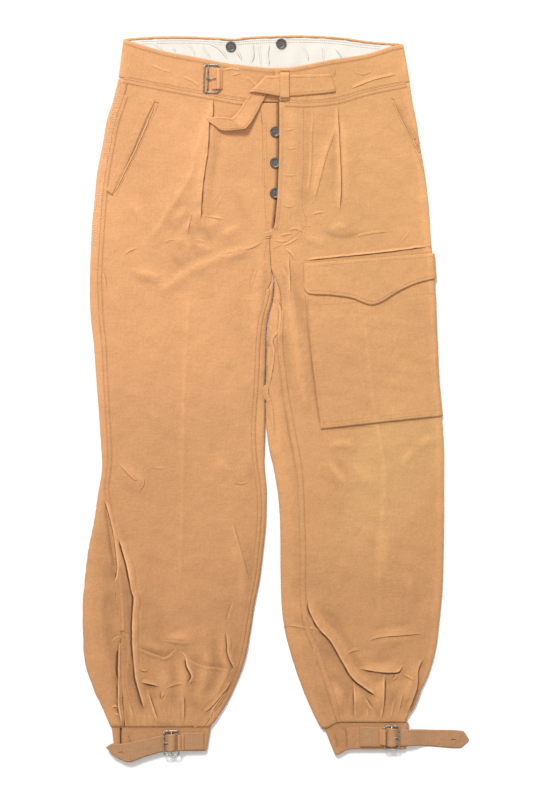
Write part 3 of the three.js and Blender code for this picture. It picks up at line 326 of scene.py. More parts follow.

# Soft painted shade in the deeper folds, beside the fly's edge, along the pocket's and flap's edges, next to
# the
# hanging belt and above the cuffs: how dark, spread to the right and left of the path's run, path
foldShades = [
    (0.4, 12, 2, [(-223, -212), (-215, -238), (-209, -277), (-206, -290), (-208, -321), (-208, -352),
                  (-206, -379), (-203, -407), (-197, -430), (-190, -454)]),
    (0.4, 7, 2, [(-249, -147), (-243, -176), (-239, -205), (-235, -238), (-237, -267)]),
    (0.34, 11, 2, [(48, -298), (63, -334), (74, -345), (91, -372), (111, -405), (128, -419), (150, -434)]),
    (0.5, 6, 1, [(2, 427), (2, 361), (2, 282), (-1, 256), (-5, 233)]),
    (0.25, 8, 8, [(63, 248), (87, 236), (111, 237), (135, 243)]),
    (0.2, 9, 9, [(-182, -460), (-161, -469), (-139, -466)]),
    (0.34, 6, 5, [(-235, -476), (-204, -477), (-161, -477), (-103, -477)]),
    (0.3, 5, 5, [(80, -475), (108, -470), (151, -470), (192, -472)]),
    (0.2, 8, 8, [(-220, -437), (-216, -457), (-211, -476)]),
    (0.16, 9, 9, [(-124, -425), (-116, -443), (-120, -460)]),
    (0.16, 9, 9, [(167, -414), (170, -437), (164, -460)]),
    (0.14, 10, 10, [(67, -350), (87, -382), (102, -411)]),
    (0.14, 12, 12, [(11, 198), (15, 166), (18, 129)]),
    (0.28, 3.5, 3.5, [(42, 198), (42, 178), (43, 156)]),
    (0.28, 3.5, 3.5, [(44, 153), (48, 98), (55, 27), (65, -45)]),
    (0.26, 3.5, 3.5, [(64, -46), (122, -40), (180, -33), (238, -27)]),
    (0.2, 10, 10, [(-17, 439), (-24, 424), (-36, 407), (-52, 398)]),
    (0.24, 9, 3, [(119, -393), (148, -398), (176, -399)]),
    (0.22, 8, 3, [(-202, -411), (-182, -417), (-163, -421)]),
    (0.22, 9, 3, [(-142, -370), (-133, -376), (-129, -390), (-123, -403), (-129, -419)]),
    (0.2, 10, 3, [(-71, -353), (-70, -372), (-65, -385), (-61, -401), (-69, -422), (-90, -446)]),
    (0.2, 3, 12, [(-201, -361), (-182, -370), (-162, -376)]),
    (0.2, 3, 12, [(-124, -373), (-98, -386), (-69, -395)]),
    (0.2, 10, 3, [(-187, -422), (-177, -448), (-171, -467)]),
    (0.2, 10, 3, [(-132, -425), (-132, -448), (-133, -472)]),
    (0.22, 9, 3, [(158, -405), (158, -428), (156, -454)]),
    (0.18, 9, 3, [(112, -414), (113, -440), (114, -469)]),
    (0.22, 3, 9, [(206, -396), (205, -417), (198, -437)]),
    (0.14, 9, 9, [(-156, 216), (-142, 198), (-121, 190)]),
    (0.14, 9, 9, [(-116, 248), (-101, 239), (-87, 221)]),
    (0.12, 9, 9, [(-214, 178), (-182, 169), (-159, 158)]),
    (0.12, 9, 9, [(-69, 198), (-43, 207), (-29, 213)]),
    (0.1, 14, 14, [(-63, 303), (-52, 281), (-37, 256)]),
    (0.16, 12, 12, [(24, 198), (29, 158), (38, 100)]),
    (0.14, 16, 10, [(-34, -82), (-36, -111), (-37, -132)]),
]


# A smooth path through its points: cubics whose slope at each point is half the step between its neighbours
def smoothPath(points, pieces=5):
    points = np.array(points, float)
    padded = np.vstack([2 * points[0] - points[1], points, 2 * points[-1] - points[-2]])
    t = np.linspace(0, 1, pieces, endpoint=False)[:, None]
    runs = []
    for i in range(len(points) - 1):
        a, b, c, d = padded[i:i + 4]
        runs.append(0.5 * (2 * b + (c - a) * t + (2 * a - 5 * b + 4 * c - d) * t ** 2
                           + (3 * b - a - 3 * c + d) * t ** 3))
    return np.vstack(runs + [points[-1:]])


# For each point: its distance from a path, the side it lies on, and how far along the path it is.
def nearPath(x, y, path):
    nearest = np.full(x.shape, 1e9)
    side = np.zeros(x.shape)
    along = np.zeros(x.shape)
    passed = 0
    for (x0, y0), (x1, y1) in zip(path[:-1], path[1:]):
        length = np.hypot(x1 - x0, y1 - y0)
        share = np.clip(((x - x0) * (x1 - x0) + (y - y0) * (y1 - y0)) / length ** 2, 0, 1)
        distance = np.hypot(x - mix(x0, x1, share), y - mix(y0, y1, share))
        closer = distance < nearest
        nearest = np.where(closer, distance, nearest)
        side = np.where(closer, (x1 - x0) * (y - y0) - (y1 - y0) * (x - x0), side)
        along = np.where(closer, passed + share * length, along)
        passed += length
    return nearest, side, along, passed


# A fold falls off from its path as (1 - d^sharp)^2, d being the share of its spread, and fades at its ends.
def addFold(total, x, y, height, west, east, sharp, path, taper=foldTaper):
    path = smoothPath(path)
    reach = max(west, east)
    low = path.min(0) - reach
    high = path.max(0) + reach
    near = (x > low[0]) & (x < high[0]) & (y > low[1]) & (y < high[1])
    if not near.any():
        return
    distance, side, along, whole = nearPath(x[near], y[near], path)
    d = np.clip(distance / np.where(side > 0, east, west), 0, 1)
    taper = min(taper, whole / 2)
    total[near] += height * ease(0, taper, along) * ease(0, taper, whole - along) * (1 - d ** sharp) ** 2


# Sums of slow sines give the cloth's own unevenness, without a repeat that shows.
def wander(x, y, spacing, seed):
    draw = np.random.default_rng(seed)
    total = np.zeros(np.broadcast(x, y).shape)
    for k in range(6):
        turn = draw.uniform(0, np.pi)
        wave = 2 * np.pi / (spacing * draw.uniform(0.6, 1.7))
        total += np.sin((x * np.cos(turn) + y * np.sin(turn)) * wave + draw.uniform(0, 6.3))
    return total / 6


# The same unevenness along one direction alone
def ripple(along, seed, spacing=5.2):
    return wander(along, 0 * along, spacing, seed)


# How high the cloth waves and ruffles between its folds, and how much more it does so below the knee
drape = {"wave": 0.55, "shinWave": 0.9, "ruffle": 0.13, "shinRuffle": 0.12}


# The cloth's lift and the shade painted into its folds: all folds are summed, a crease also sinks and gets
# painted shade at its foot, slow waves are added, and the lift dies away towards the cuff seam.
def clothFields(x, y):
    x, y = np.broadcast_arrays(np.asarray(x, float), np.asarray(y, float))
    shape = x.shape
    x, y = x.ravel(), y.ravel()
    lift = np.zeros(x.shape)
    dark = np.zeros(x.shape)
    for height, west, east, path in softFolds:
        addFold(lift, x, y, height, west * foldSpread, east * foldSpread, foldCrest, path, 70)
    for height, west, east, sharp, path in fineRidges:
        addFold(lift, x, y, height, west * ridgeSpread, east * ridgeSpread, sharp, path, 40)
    for height, reach, side, shade, path in creaseLips:
        addFold(lift, x, y, -creaseSink * height, 5, 5, 1.6, path, 20)
        addFold(dark, x, y, creaseShade * shade, 5, 5, 1.4, path, 20)
    for shade, west, east, path in foldShades:
        addFold(dark, x, y, shadeStrength * shade, west, east, 1.3, path, 24)
    lift += (drape["shinWave"] * wander(x, y, 70, 3) * ease(-40, -300, y)
             + drape["wave"] * wander(x, y, 46, 5))
    lift += (drape["ruffle"] + drape["shinRuffle"] * ease(-300, -400, y)) * wander(x, y, 17, 6)
    hold = ease(cuffSeamY - cuffFade, cuffSeamY + cuffFade, y)
    lift = np.maximum(lift * hold, lowestLift)
    return lift.reshape(shape), dark.reshape(shape)


def clothLift(x, y):
    return clothFields(x, y)[0]


# The left front stands over the right along the fly: full height from the edge to the shelf, then an easy
# fall across the reach, and none below the bartack.
def flyLift(x, y):
    edge = read(leftLeg, 0, 2, y)
    across = 1 - ease(edge + flyShelf, edge + flyOverlapReach, x)
    return flyOverlapLift * across * ease(bartackY, flyFreeY, y)


# The top face of a leg: its flat height, the cloth's lift and the fly's
def topHeight(x, y, leg):
    fly = flyLift(x, y) if leg is leftLeg else 0
    return legHeight + clothLift(x, y) + fly


# The lift acts on the top face and fades down the edge.
def liftShare(z):
    return ease(clothWall, 3.8, z)


# The inner edge's rounding grows from none at the crotch's top to the full one at its end.
def innerRound(y):
    return edgeRound * np.clip((crotchTop - y) / (crotchTop - crotchEnd), 0, 1)


# One point of a leg's flattened ring: turn is the distance round the edge from its outermost point, above
# zero on the top face. The edge is a half ellipse, and depth is measured inwards.
def ringPoint(leg, y, outer, turn, depth, edgeX=None):
    tip = read(leg, 0, 1 if outer else 2, y) if edgeX is None else edgeX
    bend = edgeRound + 0 * y if outer else innerRound(y)
    inward = 1 if outer == (leg is rightLeg) else -1
    angle = np.clip(turn / edgeTurn, -1, 1) * np.pi / 2
    reach = np.maximum(bend - depth, 0.4) * np.cos(angle)
    flat = np.abs(turn) >= edgeTurn
    x = np.where(flat, bend + np.abs(turn) - edgeTurn, bend - reach)
    z = np.where(flat, np.where(turn > 0, legHeight - depth, depth),
                 midHeight + (midHeight - depth) * np.sin(angle))
    return tip + inward * x, z


# A distance in from the edge's tip, measured round the edge instead
def inside(distance, bend=edgeRound):
    return edgeTurn + distance - bend


# The vent opens by this much below its top.
def ventGap(y):
    return 3.4 * ease(-352, -368, y)


# Where a panel starts and ends round the ring: half a seam's gap short of the seams on the top face
def boundaries(leg, front, y):
    outseam = read(leg, 0, 3, y)
    inseam = read(leg, 0, 4, y)
    sign = 1 if front else -1
    clear = sign * seamGap / 2
    vent = ventGap(y) if leg is rightLeg and front else 0
    outer = np.sign(outseam) * inside(np.abs(outseam)) + clear + vent
    inner = np.where(y >= crotchTop, sign * edgeTurn,
                     np.maximum(inside(inseam, innerRound(y)), edgeTurn) + clear)
    return outer, inner


# Towards the waist the rows bend to follow its seam, front or back.
def rowY(leg, y, x, z):
    seam = np.where(z > midHeight, read(frontSeam, 0, 1, x), read(backSeam, 0, 1, x)) - seamGap / 2
    return y + ease(hipStraight, leg[0, 0], y) * (seam - leg[0, 0])


# Above the cuffs the cloth gathers in wide and fine ripples, swells, and hangs lower
cuffGather = {"wide": 0.5, "fine": 0.25, "swell": 1.3, "rightDrop": 4.4, "leftDrop": 9}


# A leg panel: rows down the leg, and columns round the flattened ring from the outer bound to the inner
# one, with the cloth's lift on the top face and the gathers above the cuff
def panelGrid(leg, front, rowCount, colCount, depth):
    y = np.linspace(leg[0, 0], leg[-1, 0], rowCount)[:, None]
    sign = 1 if front else -1
    outerTurn, innerTurn = [sign * bound for bound in boundaries(leg, front, y)]
    centre = None
    innerTip = read(leg, 0, 2, y)
    if not front:
        off = -0.2 if leg is rightLeg else 0.2
        centre = np.where(y >= crotchTop, read(centreBack, 0, 1, y) + off, innerTip)
        innerTip = centre
    width = np.abs(innerTip - read(leg, 0, 1, y)) - edgeRound - innerRound(y)
    whole = 2 * edgeTurn - outerTurn - innerTurn + width
    q = whole * np.linspace(0, 1, colCount)[None, :]
    fromOuter = outerTurn + q
    fromInner = innerTurn + whole - q
    nearOuter = ringPoint(leg, y, True, sign * fromOuter, depth)
    nearInner = ringPoint(leg, y, False, sign * fromInner, depth, centre)
    useOuter = fromOuter < fromInner
    x = np.where(useOuter, nearOuter[0], nearInner[0])
    z = np.where(useOuter, nearOuter[1], nearInner[1])
    at = rowY(leg, y, x, z)
    lift, dark = clothFields(x, at)
    ripples = cuffGather["wide"] * ripple(x, 17, 11) + cuffGather["fine"] * ripple(x, 18, 6)
    gather = ease(-436, -464, at) * ripples
    lift = (lift + gather + cuffGather["swell"] * ease(-440, -470, at)) * liftShare(z)
    if leg is rightLeg:
        at = at - ease(-400, -471, at) * cuffGather["rightDrop"] * liftShare(z)
    else:
        at = at - ease(-430, -470, at) * cuffGather["leftDrop"] * (1 - ease(0, 26, x - 71)) ** 1.5
        lift = lift + flyLift(x, at) * (z > midHeight)
    return np.stack([x, at, z + lift], -1), dark * liftShare(z)


# The difference between the cloth's height and its height smoothed around shows ridges and hollows.
def relief(height, reach=4):
    smooth = height
    for axis in (0, 1):
        for shift in range(reach):
            before = np.take(smooth, np.clip(np.arange(height.shape[axis]) - 1 - shift, 0, None), axis)
            after = np.take(smooth, np.clip(np.arange(height.shape[axis]) + 1 + shift, None,
                                            height.shape[axis] - 1), axis)
            smooth = 0.5 * smooth + 0.25 * (before + after)
    return height - smooth


# Quads of two stacked grids and of the wall that joins their rims
def gridFaces(rows, cols):
    index = np.arange(rows * cols).reshape(rows, cols)
    top = np.stack([index[:-1, :-1], index[1:, :-1], index[1:, 1:], index[:-1, 1:]], -1).reshape(-1, 4)
    ring = np.concatenate([index[0], index[1:, -1], index[-1, -2::-1], index[-2:0:-1, 0]])
    after = np.roll(ring, -1)
    count = rows * cols
    sides = np.stack([ring, after, after + count, ring + count], -1)
    return np.vstack([top, top[:, ::-1] + count, sides])


# Six times the volume that the quads enclose, below zero where they face inwards
def volume(points, faces):
    a, b, c, d = [points[faces[:, k]] for k in range(4)]
    return (np.cross(b, c) * a + np.cross(c, d) * a).sum()


# Puts millimetre points into a smooth mesh in metres, riding on the root body
def addMesh(name, points, faces, material, fields=None, replaced=()):
    mesh = bpy.data.meshes.new(name)
    mesh.from_pydata((points / 1000).tolist(), [], faces if isinstance(faces, list) else faces.tolist())
    mesh.polygons.foreach_set("use_smooth", np.ones(len(mesh.polygons), bool))
    mesh.materials.append(material)
    for key, values in (fields or {}).items():
        attribute = mesh.attributes.new(key, "FLOAT", "POINT")
        attribute.data.foreach_set("value", np.asarray(values, np.float32).ravel())
    mesh.update()
    thing = bpy.data.objects.new(name, mesh)
    bpy.context.scene.collection.objects.link(thing)
    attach(thing, "root")
    if replaced:
        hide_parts(*replaced)
    return thing


# A closed cloth wall between two grids, its rim drawn in so that the cut edge looks folded.
def shellParts(outer, inner, dark=None, rim=0.45):
    rows, cols = outer.shape[:2]
    edge = np.zeros((rows, cols, 1))
    edge[[0, -1], :] = 1
    edge[:, [0, -1]] = 1
    middle = (outer + inner) / 2
    hollow = relief(outer[..., 2])
    outer = mix(outer, middle, rim * edge)
    inner = mix(inner, middle, rim * edge)
    points = np.concatenate([outer.reshape(-1, 3), inner.reshape(-1, 3)])
    faces = gridFaces(rows, cols)
    if volume(points, faces) < 0:
        faces = faces[:, ::-1]
    dark = np.zeros((rows, cols)) if dark is None else dark
    return points, faces, np.concatenate([hollow.ravel()] * 2), np.concatenate([dark.ravel()] * 2)


def addShell(name, outer, inner, material, dark=None, replaced=(), rim=0.45):
    points, faces, hollow, shade = shellParts(outer, inner, dark, rim)
    return addMesh(name, points, faces, material, {"relief": hollow, "crease": shade}, replaced)


# Several shells in one mesh
def addShells(name, parts, material):
    starts = np.cumsum([0] + [len(part[0]) for part in parts])
    faces = np.vstack([part[1] + start for part, start in zip(parts, starts)])
    points, hollow, shade = [np.concatenate([part[k] for part in parts]) for k in (0, 2, 3)]
    return addMesh(name, points, faces, material, {"relief": hollow, "crease": shade})


# Shader maths as expressions: a Value wraps a socket, and each operator adds its Math node.
class Value:
    tree = None

    def __init__(self, socket):
        self.socket = socket

    def node(kind, settings=None, inputs=None, output=0):
        made = Value.tree.nodes.new(kind)
        for key, value in (settings or {}).items():
            setattr(made, key, value)
        for key, value in (inputs or {}).items():
            if isinstance(value, Value):
                Value.tree.links.new(value.socket, made.inputs[key])
            else:
                made.inputs[key].default_value = value
        return Value(made.outputs[output])

    def maths(operation, *values):
        return Value.node("ShaderNodeMath", {"operation": operation}, dict(enumerate(values)))

    def __add__(self, other):
        return Value.maths("ADD", self, other)

    def __sub__(self, other):
        return Value.maths("SUBTRACT", self, other)

    def __rsub__(self, other):
        return Value.maths("SUBTRACT", other, self)

    def __mul__(self, other):
        return Value.maths("MULTIPLY", self, other)

    __radd__ = __add__
    __rmul__ = __mul__


def noise(place, scale, stretch=(1, 1, 1), detail=3.0):
    moved = Value.node("ShaderNodeVectorMath", {"operation": "MULTIPLY"}, {0: place, 1: stretch})
    return Value.node("ShaderNodeTexNoise", inputs={"Vector": moved, "Scale": scale, "Detail": detail})


def ramp(value, start, end, low=0.0, high=1.0):
    return Value.node("ShaderNodeMapRange", {"interpolation_type": "SMOOTHSTEP"}, {
        "Value": value, "From Min": start, "From Max": end, "To Min": low, "To Max": high,
    })


def blendColour(factor, first, second, mode="MIX"):
    made = Value.node("ShaderNodeMix", {"data_type": "RGBA", "blend_type": mode}, {0: factor}, 2)
    node = made.socket.node
    for index, colour in ((6, first), (7, second)):
        if isinstance(colour, Value):
            Value.tree.links.new(colour.socket, node.inputs[index])
        else:
            node.inputs[index].default_value = (*colour, 1)
    return made


def newMaterial(name, roughness, settings=None):
    material = bpy.data.materials.new(name)
    material.use_nodes = True
    Value.tree = material.node_tree
    surface = material.node_tree.nodes["Principled BSDF"]
    surface.inputs["Roughness"].default_value = roughness
    for key, value in (settings or {}).items():
        surface.inputs[key].default_value = value
    return material, surface


def link(value, surface, name):
    Value.tree.links.new(value.socket, surface.inputs[name])


# Colours of the cotton: its two legs, the shins, the painted shade of fold lines, the painted highlight on
# crests, the stain and the cuffs
warmSand = (0.675, 0.338, 0.152)
tanSand = (0.625, 0.325, 0.139)
brownSand = (0.42, 0.208, 0.089)
paintedCreaseShade = (0.10, 0.042, 0.018)
paintedCrestHighlight = (0.86, 0.5, 0.26)
stainYellow = (0.545, 0.318, 0.132)
cuffBrown = (0.405, 0.2, 0.09)
tailTan = (0.37, 0.2, 0.099)


# Sand cotton twill: two sets of slubbed threads, a mottle, a warmer right leg, browner shins, a stain on the
# left one, and painted highlights on ridges beside painted shade in creases
def sandCloth(name, warm, yellow, brown, strength=1.0):
    material, surface = newMaterial(name, 0.86, {"Sheen Weight": 0.1, "Sheen Roughness": 0.45,
                                                 "Specular IOR Level": 0.22})
    place = Value.node("ShaderNodeTexCoord", output=3)
    x = Value.node("ShaderNodeSeparateXYZ", inputs={0: place})
    y = Value(x.socket.node.outputs[1])
    cross = noise(place, 1000.0, (0.05, 0.62, 0.4), 2.0)
    down = noise(place, 1000.0, (0.62, 0.045, 0.4), 2.0)
    fine = noise(place, 1100.0, (1, 1, 1), 2.0)
    mottle = noise(place, 9.0, (1, 0.7, 1), 4.0)
    cloud = noise(place, 3.4, (1, 0.8, 1), 2.0)
    rise = Value.node("ShaderNodeAttribute", {"attribute_name": "relief"}, output=2)
    crease = Value.node("ShaderNodeAttribute", {"attribute_name": "crease"}, output=2)
    side = ramp(x + (cloud - 0.5) * 0.3, -0.13, 0.15)
    low = ramp(y + (cloud - 0.5) * 0.3, 0.37, -0.45)
    colour = blendColour(side, warm, yellow)
    colour = blendColour(low * 0.85, colour, brown)
    stainX = ramp(x - 0.42 * y + (mottle - 0.5) * 0.16, 0.12, 0.19)
    stainEnd = ramp(x - 0.42 * y + (mottle - 0.5) * 0.16, 0.24, 0.31, 1.0, 0.0)
    stainY = ramp(y, -0.30, -0.12) * ramp(y, -0.06, 0.02, 1.0, 0.0)
    stain = stainX * stainEnd * stainY * 0.55
    colour = blendColour(stain, colour, stainYellow)
    speck = noise(place, 340.0, (1, 1, 1), 3.0)
    shade = 1 + (mottle - 0.5) * 0.3 + (cross - 0.5) * 0.14 + (down - 0.5) * 0.12 + (fine - 0.5) * 0.4
    shade = shade + (speck - 0.5) * 0.3
    # Painted highlight on the ridges and painted shade in the hollows of the cloth's relief
    shade = shade * (1 + ramp(rise, 0.1, 0.8) * 0.1 - ramp(rise, -0.1, -0.9) * 0.13)
    shade = shade * strength
    grey = Value.node("ShaderNodeCombineXYZ", inputs={0: shade, 1: shade, 2: shade})
    colour = blendColour(1.0, colour, grey, "MULTIPLY")
    # Painted shade: the crease attribute darkens folds, seams and hollows; where it is below zero it paints a
    # highlight on the crests
    colour = blendColour(crease * 0.92, colour, paintedCreaseShade)
    colour = blendColour(ramp(crease, 0.0, -1.0) * 0.8, colour, paintedCrestHighlight)
    link(colour, surface, "Base Color")
    weave = cross * 0.5 + down * 0.5 + fine * 0.3
    bump = Value.node("ShaderNodeBump", inputs={"Strength": 0.32, "Distance": 0.0006, "Height": weave})
    crumple = noise(place, 38.0, (1, 0.75, 1), 4.0)
    soft = Value.node("ShaderNodeBump", inputs={"Strength": 0.55, "Distance": 0.006, "Height": crumple,
                                                "Normal": bump})
    link(soft, surface, "Normal")
    return material


# Pale lining canvas: a fine even weave, faintly greyed
def paleCanvas():
    material, surface = newMaterial("liningCanvas", 0.85, {"Sheen Weight": 0.1, "Specular IOR Level": 0.2})
    place = Value.node("ShaderNodeTexCoord", output=3)
    cross = noise(place, 1000.0, (0.1, 0.9, 0.4), 2.0)
    down = noise(place, 1000.0, (0.9, 0.1, 0.4), 2.0)
    mottle = noise(place, 14.0, (1, 1.6, 1), 3.0)
    crease = Value.node("ShaderNodeAttribute", {"attribute_name": "crease"}, output=2)
    colour = blendColour(mottle, (0.70, 0.66, 0.59), (0.82, 0.79, 0.73))
    colour = blendColour(ramp(cross + down, 0.75, 1.3) * 0.16, colour, (0.66, 0.60, 0.50))
    # Painted shade from the crease attribute: in the lining's wrinkles and in a line under the rolled edge
    colour = blendColour(crease * 0.75, colour, (0.33, 0.24, 0.17))
    link(colour, surface, "Base Color")
    crumple = noise(place, 90.0, (1, 0.5, 1), 3.0)
    bump = Value.node("ShaderNodeBump", inputs={
        "Strength": 0.4, "Distance": 0.001, "Height": (cross + down) * 0.4 + crumple,
    })
    link(bump, surface, "Normal")
    return material


# A plain finish, darker or paler in its worn patches
def plain(name, colour, roughness, settings=None, wear=None):
    material, surface = newMaterial(name, roughness, settings)
    place = Value.node("ShaderNodeTexCoord", output=3)
    patch = noise(place, 420.0, (1, 1, 1), 3.0)
    mixed = blendColour(ramp(patch, 0.42, 0.66), colour, wear or [c * 0.75 for c in colour])
    link(mixed, surface, "Base Color")
    bump = Value.node("ShaderNodeBump", inputs={"Strength": 0.2, "Distance": 0.0003, "Height": patch})
    link(bump, surface, "Normal")
    return material


cloth = sandCloth("sandCotton", warmSand, tanSand, brownSand)
# A copy of the cloth painted a little darker, as shade on the back panels and the vent's underlap that lie
# beneath
shadedBackCloth = sandCloth("sandCottonBackShaded", warmSand, tanSand, brownSand, 0.97)
cuffCloth = sandCloth("sandCottonCuff", cuffBrown, cuffBrown, cuffBrown)
tailCloth = sandCloth("sandCottonTail", tailTan, tailTan, tailTan)
lining = paleCanvas()
thread = plain("sewingThread", (0.44, 0.225, 0.1), 0.8, wear=(0.62, 0.34, 0.16))
# Painted shade for the buttonholes' slits
paintedSlitShade = plain("paintedSlitShade", (0.06, 0.035, 0.02), 0.9)
paleThread = plain("paleThread", (0.9, 0.72, 0.54), 0.8, wear=(0.86, 0.58, 0.36))
liningThread = plain("liningThread", (0.50, 0.42, 0.33), 0.8)
buttonPlastic = plain("greyButton", (0.06, 0.056, 0.052), 0.4, wear=(0.15, 0.14, 0.13))
buttonThread = plain("buttonThread", (0.30, 0.22, 0.15), 0.8)
wireMetal = plain("wireMetal", (0.46, 0.44, 0.41), 0.36, {"Metallic": 1.0}, (0.16, 0.135, 0.11))
print("materials made")


# Leg panels: leg, whether it is the front one, rows, columns, cloth
panels = [
    ("right_front", rightLeg, True, 312, 106, cloth), ("left_front", leftLeg, True, 312, 106, cloth),
    ("right_back", rightLeg, False, 200, 70, shadedBackCloth), ("left_back", leftLeg, False, 200, 70, shadedBackCloth),
]
for name, leg, front, rows, cols, material in panels:
    outer, dark = panelGrid(leg, front, rows, cols, 0)
    inner = panelGrid(leg, front, rows, cols, clothWall)[0]
    addShell(f"{name}_cloth", outer, inner, material, dark, [name])
print("leg panels made")


underlapStrip = {"top": -344, "foot": -468, "inward": -7, "outward": 10.4, "heights": (3.4, 2.4)}
flyStand = {"foot": 243, "top": 429, "lap": 3, "reach": 26, "wall": 1.4, "shade": 0.9}


# The strip under the vent: a flat band that follows the outer seam
def underlap():
    y = np.linspace(underlapStrip["top"], underlapStrip["foot"], 60)[:, None]
    seam = read(rightLeg, 0, 1, y) + read(rightLeg, 0, 3, y)
    x = seam + mix(underlapStrip["inward"], underlapStrip["outward"], np.linspace(0, 1, 10)[None, :])
    y = y + 0 * x
    layers = [np.stack([x, y, height + 0.2 * ripple(y, 4, 22)], -1) for height in underlapStrip["heights"]]
    return addShell("vent_underlap_cloth", *layers, shadedBackCloth, replaced=["vent_underlap_right"])


# The strip that carries the fly buttons: it laps over the right front's edge, runs under the left one, and
# lies in shade beside the left edge.
def buttonStand():
    y = np.linspace(flyStand["foot"], flyStand["top"], 100)[:, None]
    edge = read(rightLeg, 0, 2, y)
    flyEdge = read(leftLeg, 0, 2, y)
    start = edge - flyStand["lap"]
    end = flyEdge + mix(-0.6, flyStand["reach"], ease(266, 276, y))
    x = mix(start, np.maximum(end, start + 2.4), np.linspace(0, 1, 24)[None, :])
    y = y + 0 * x
    lap = ease(edge + 2.5, edge - 0.5, x)
    wave = 0.25 * ripple(y, 8, 26)
    top = legHeight - 0.1 + wave + lap * (clothLift(x, y) + 0.45)
    layers = [np.stack([x, y, top], -1), np.stack([x, y, top - mix(flyStand["wall"], 0.5, lap)], -1)]
    shade = flyStand["shade"] * ease(flyEdge - 7, flyEdge - 0.5, x)
    return addShell("fly_stand_cloth", *layers, cloth, shade, ["fly_button_stand"])


underlap()
buttonStand()


# Creases of the front waistband, written as the folded creases of the legs are
bandCreases = [
    (0.7, 6, 1, 0.6, [(-78, 475), (-63, 477), (-47, 474)]),
    (0.6, 6, -1, 0.5, [(-49, 472), (-58, 469), (-68, 467)]),
    (0.8, 8, 1, 0.6, [(108, 448), (140, 461), (176, 470)]),
    (0.4, 7, 1, 0.25, [(-185, 484), (-168, 477), (-149, 471)]),
    (0.4, 7, -1, 0.25, [(-214, 487), (-207, 474), (-200, 462)]),
    (0.5, 7, 1, 0.3, [(-139, 467), (-121, 459), (-107, 448)]),
    (0.5, 7, 1, 0.3, [(-46, 467), (-34, 458), (-24, 445)]),
    (0.4, 7, -1, 0.25, [(111, 477), (125, 472), (142, 477)]),
    (0.5, 4, 1, 0.6, [(82, 482), (83, 475), (84, 466)]),
]


bandForm = {"gather": 0.35, "groove": 0.25, "wave": 0.5, "shade": 0.26}


# The waistband's lift and shade: gathers along both edges, and a shallow groove where its top hem ends
def bandFields(x, y):
    top = read(frontTop, 0, 1, x)
    low = read(frontSeam, 0, 1, x)
    gather = bandForm["gather"] * ripple(x, 21, 9) * (ease(top - 12, top - 4, y) + ease(low + 12, low + 4, y))
    hem = ease(top - 5.2, top - 6.6, y) * ease(top - 9, top - 7, y)
    return gather - bandForm["groove"] * hem + bandForm["wave"] * wander(x, y, 34, 9), bandForm["shade"] * hem


# A front waistband half: from the centre, round the hip edge, to the seam on the resting face
def frontBand(name, leg, centres, seamX, tips, flats):
    sign = 1 if leg is rightLeg else -1
    v = np.linspace(0, 1, 26)[:, None]
    tip = mix(*tips, v)
    centre = mix(*centres, v)
    layers = []
    for depth in (0, bandWall):
        turn = np.linspace(edgeTurn, -edgeTurn, 15)[None, :]
        bendX, bendZ = ringPoint(leg, 0 * v + leg[0, 0], True, turn + 0 * v, depth, tip)
        flatX = mix(centre, bendX[:, :1], np.linspace(0, 1, flats, endpoint=False)[None, :])
        underX = mix(bendX[:, -1:], seamX - sign * seamGap, np.linspace(0, 1, 16)[None, 1:])
        x = np.hstack([flatX, bendX, underX])
        z = np.hstack([0 * flatX + legHeight - depth, bendZ, 0 * underX + depth])
        front = z > midHeight
        low = np.where(front, read(frontSeam, 0, 1, x), read(backSeam, 0, 1, x)) + seamGap
        high = np.where(front, read(frontTop, 0, 1, x), read(backTop, 0, 1, x))
        y = mix(low, high, v)
        lift, dark = bandFields(x, y)
        lift = lift * liftShare(z)
        if leg is leftLeg:
            lift = lift + flyLift(x, np.minimum(y, leg[0, 0])) * front
        layers.append(np.stack([x, y, z + lift], -1))
    return addShell(f"{name}_cloth", *layers, cloth, dark * liftShare(z), [name])


bandForms = {
    "right": {"leg": rightLeg, "centres": (32, 32), "seamX": -203, "tips": (-228, -221), "flats": 130},
    "left": {"leg": leftLeg, "centres": (6, -3.5), "seamX": 158, "tips": (194.5, 185), "flats": 110},
}
for side, form in bandForms.items():
    frontBand(f"waistband_front_{side}", **form)


# The top face of a front waistband half
def bandTopHeight(x, y, leg):
    fly = flyLift(x, np.minimum(y, leg[0, 0])) if leg is leftLeg else 0
    return legHeight + bandFields(np.asarray(x, float), np.asarray(y, float))[0] + fly


# Back waistband, rolled over the lining's edge. Its section gives, for each point, the share of the way from
# the seam to the top, a shift and a height.
def backBand():
    x = np.linspace(-203, 158, 190)[:, None]
    layers = []
    for section in (
        [(0, seamGap, 0), (0.5, 0, 0), (1, -1.2, 0), (1, -0.2, 0.5), (1, 0, 1.4), (1, 0.1, 3),
         (1, -0.2, 4.2), (1, -1, 4.8), (1, -2.6, 4.7)],
        [(0, seamGap, 1.6), (0.5, 0, 1.6), (1, -1.9, 1.6), (1, -1.7, 1.8), (1, -1.6, 2.4), (1, -1.6, 3),
         (1, -1.6, 3.4), (1, -1.8, 3.5), (1, -2.6, 3.5)],
    ):
        share, shift, z = [np.array(part, float)[None, :] for part in zip(*section)]
        top = read(backTop, 0, 1, x) + 0.5 * ripple(x, 31, 14)
        y = mix(read(backSeam, 0, 1, x), top, share) + shift
        layers.append(np.stack([x + 0 * y, y, z + 0.35 * ripple(x + 0 * y, 33, 11) * (z > 3)], -1))
    return addShell("waistband_back_cloth", *layers, cloth, replaced=["waistband_back"], rim=0.2)


backBand()

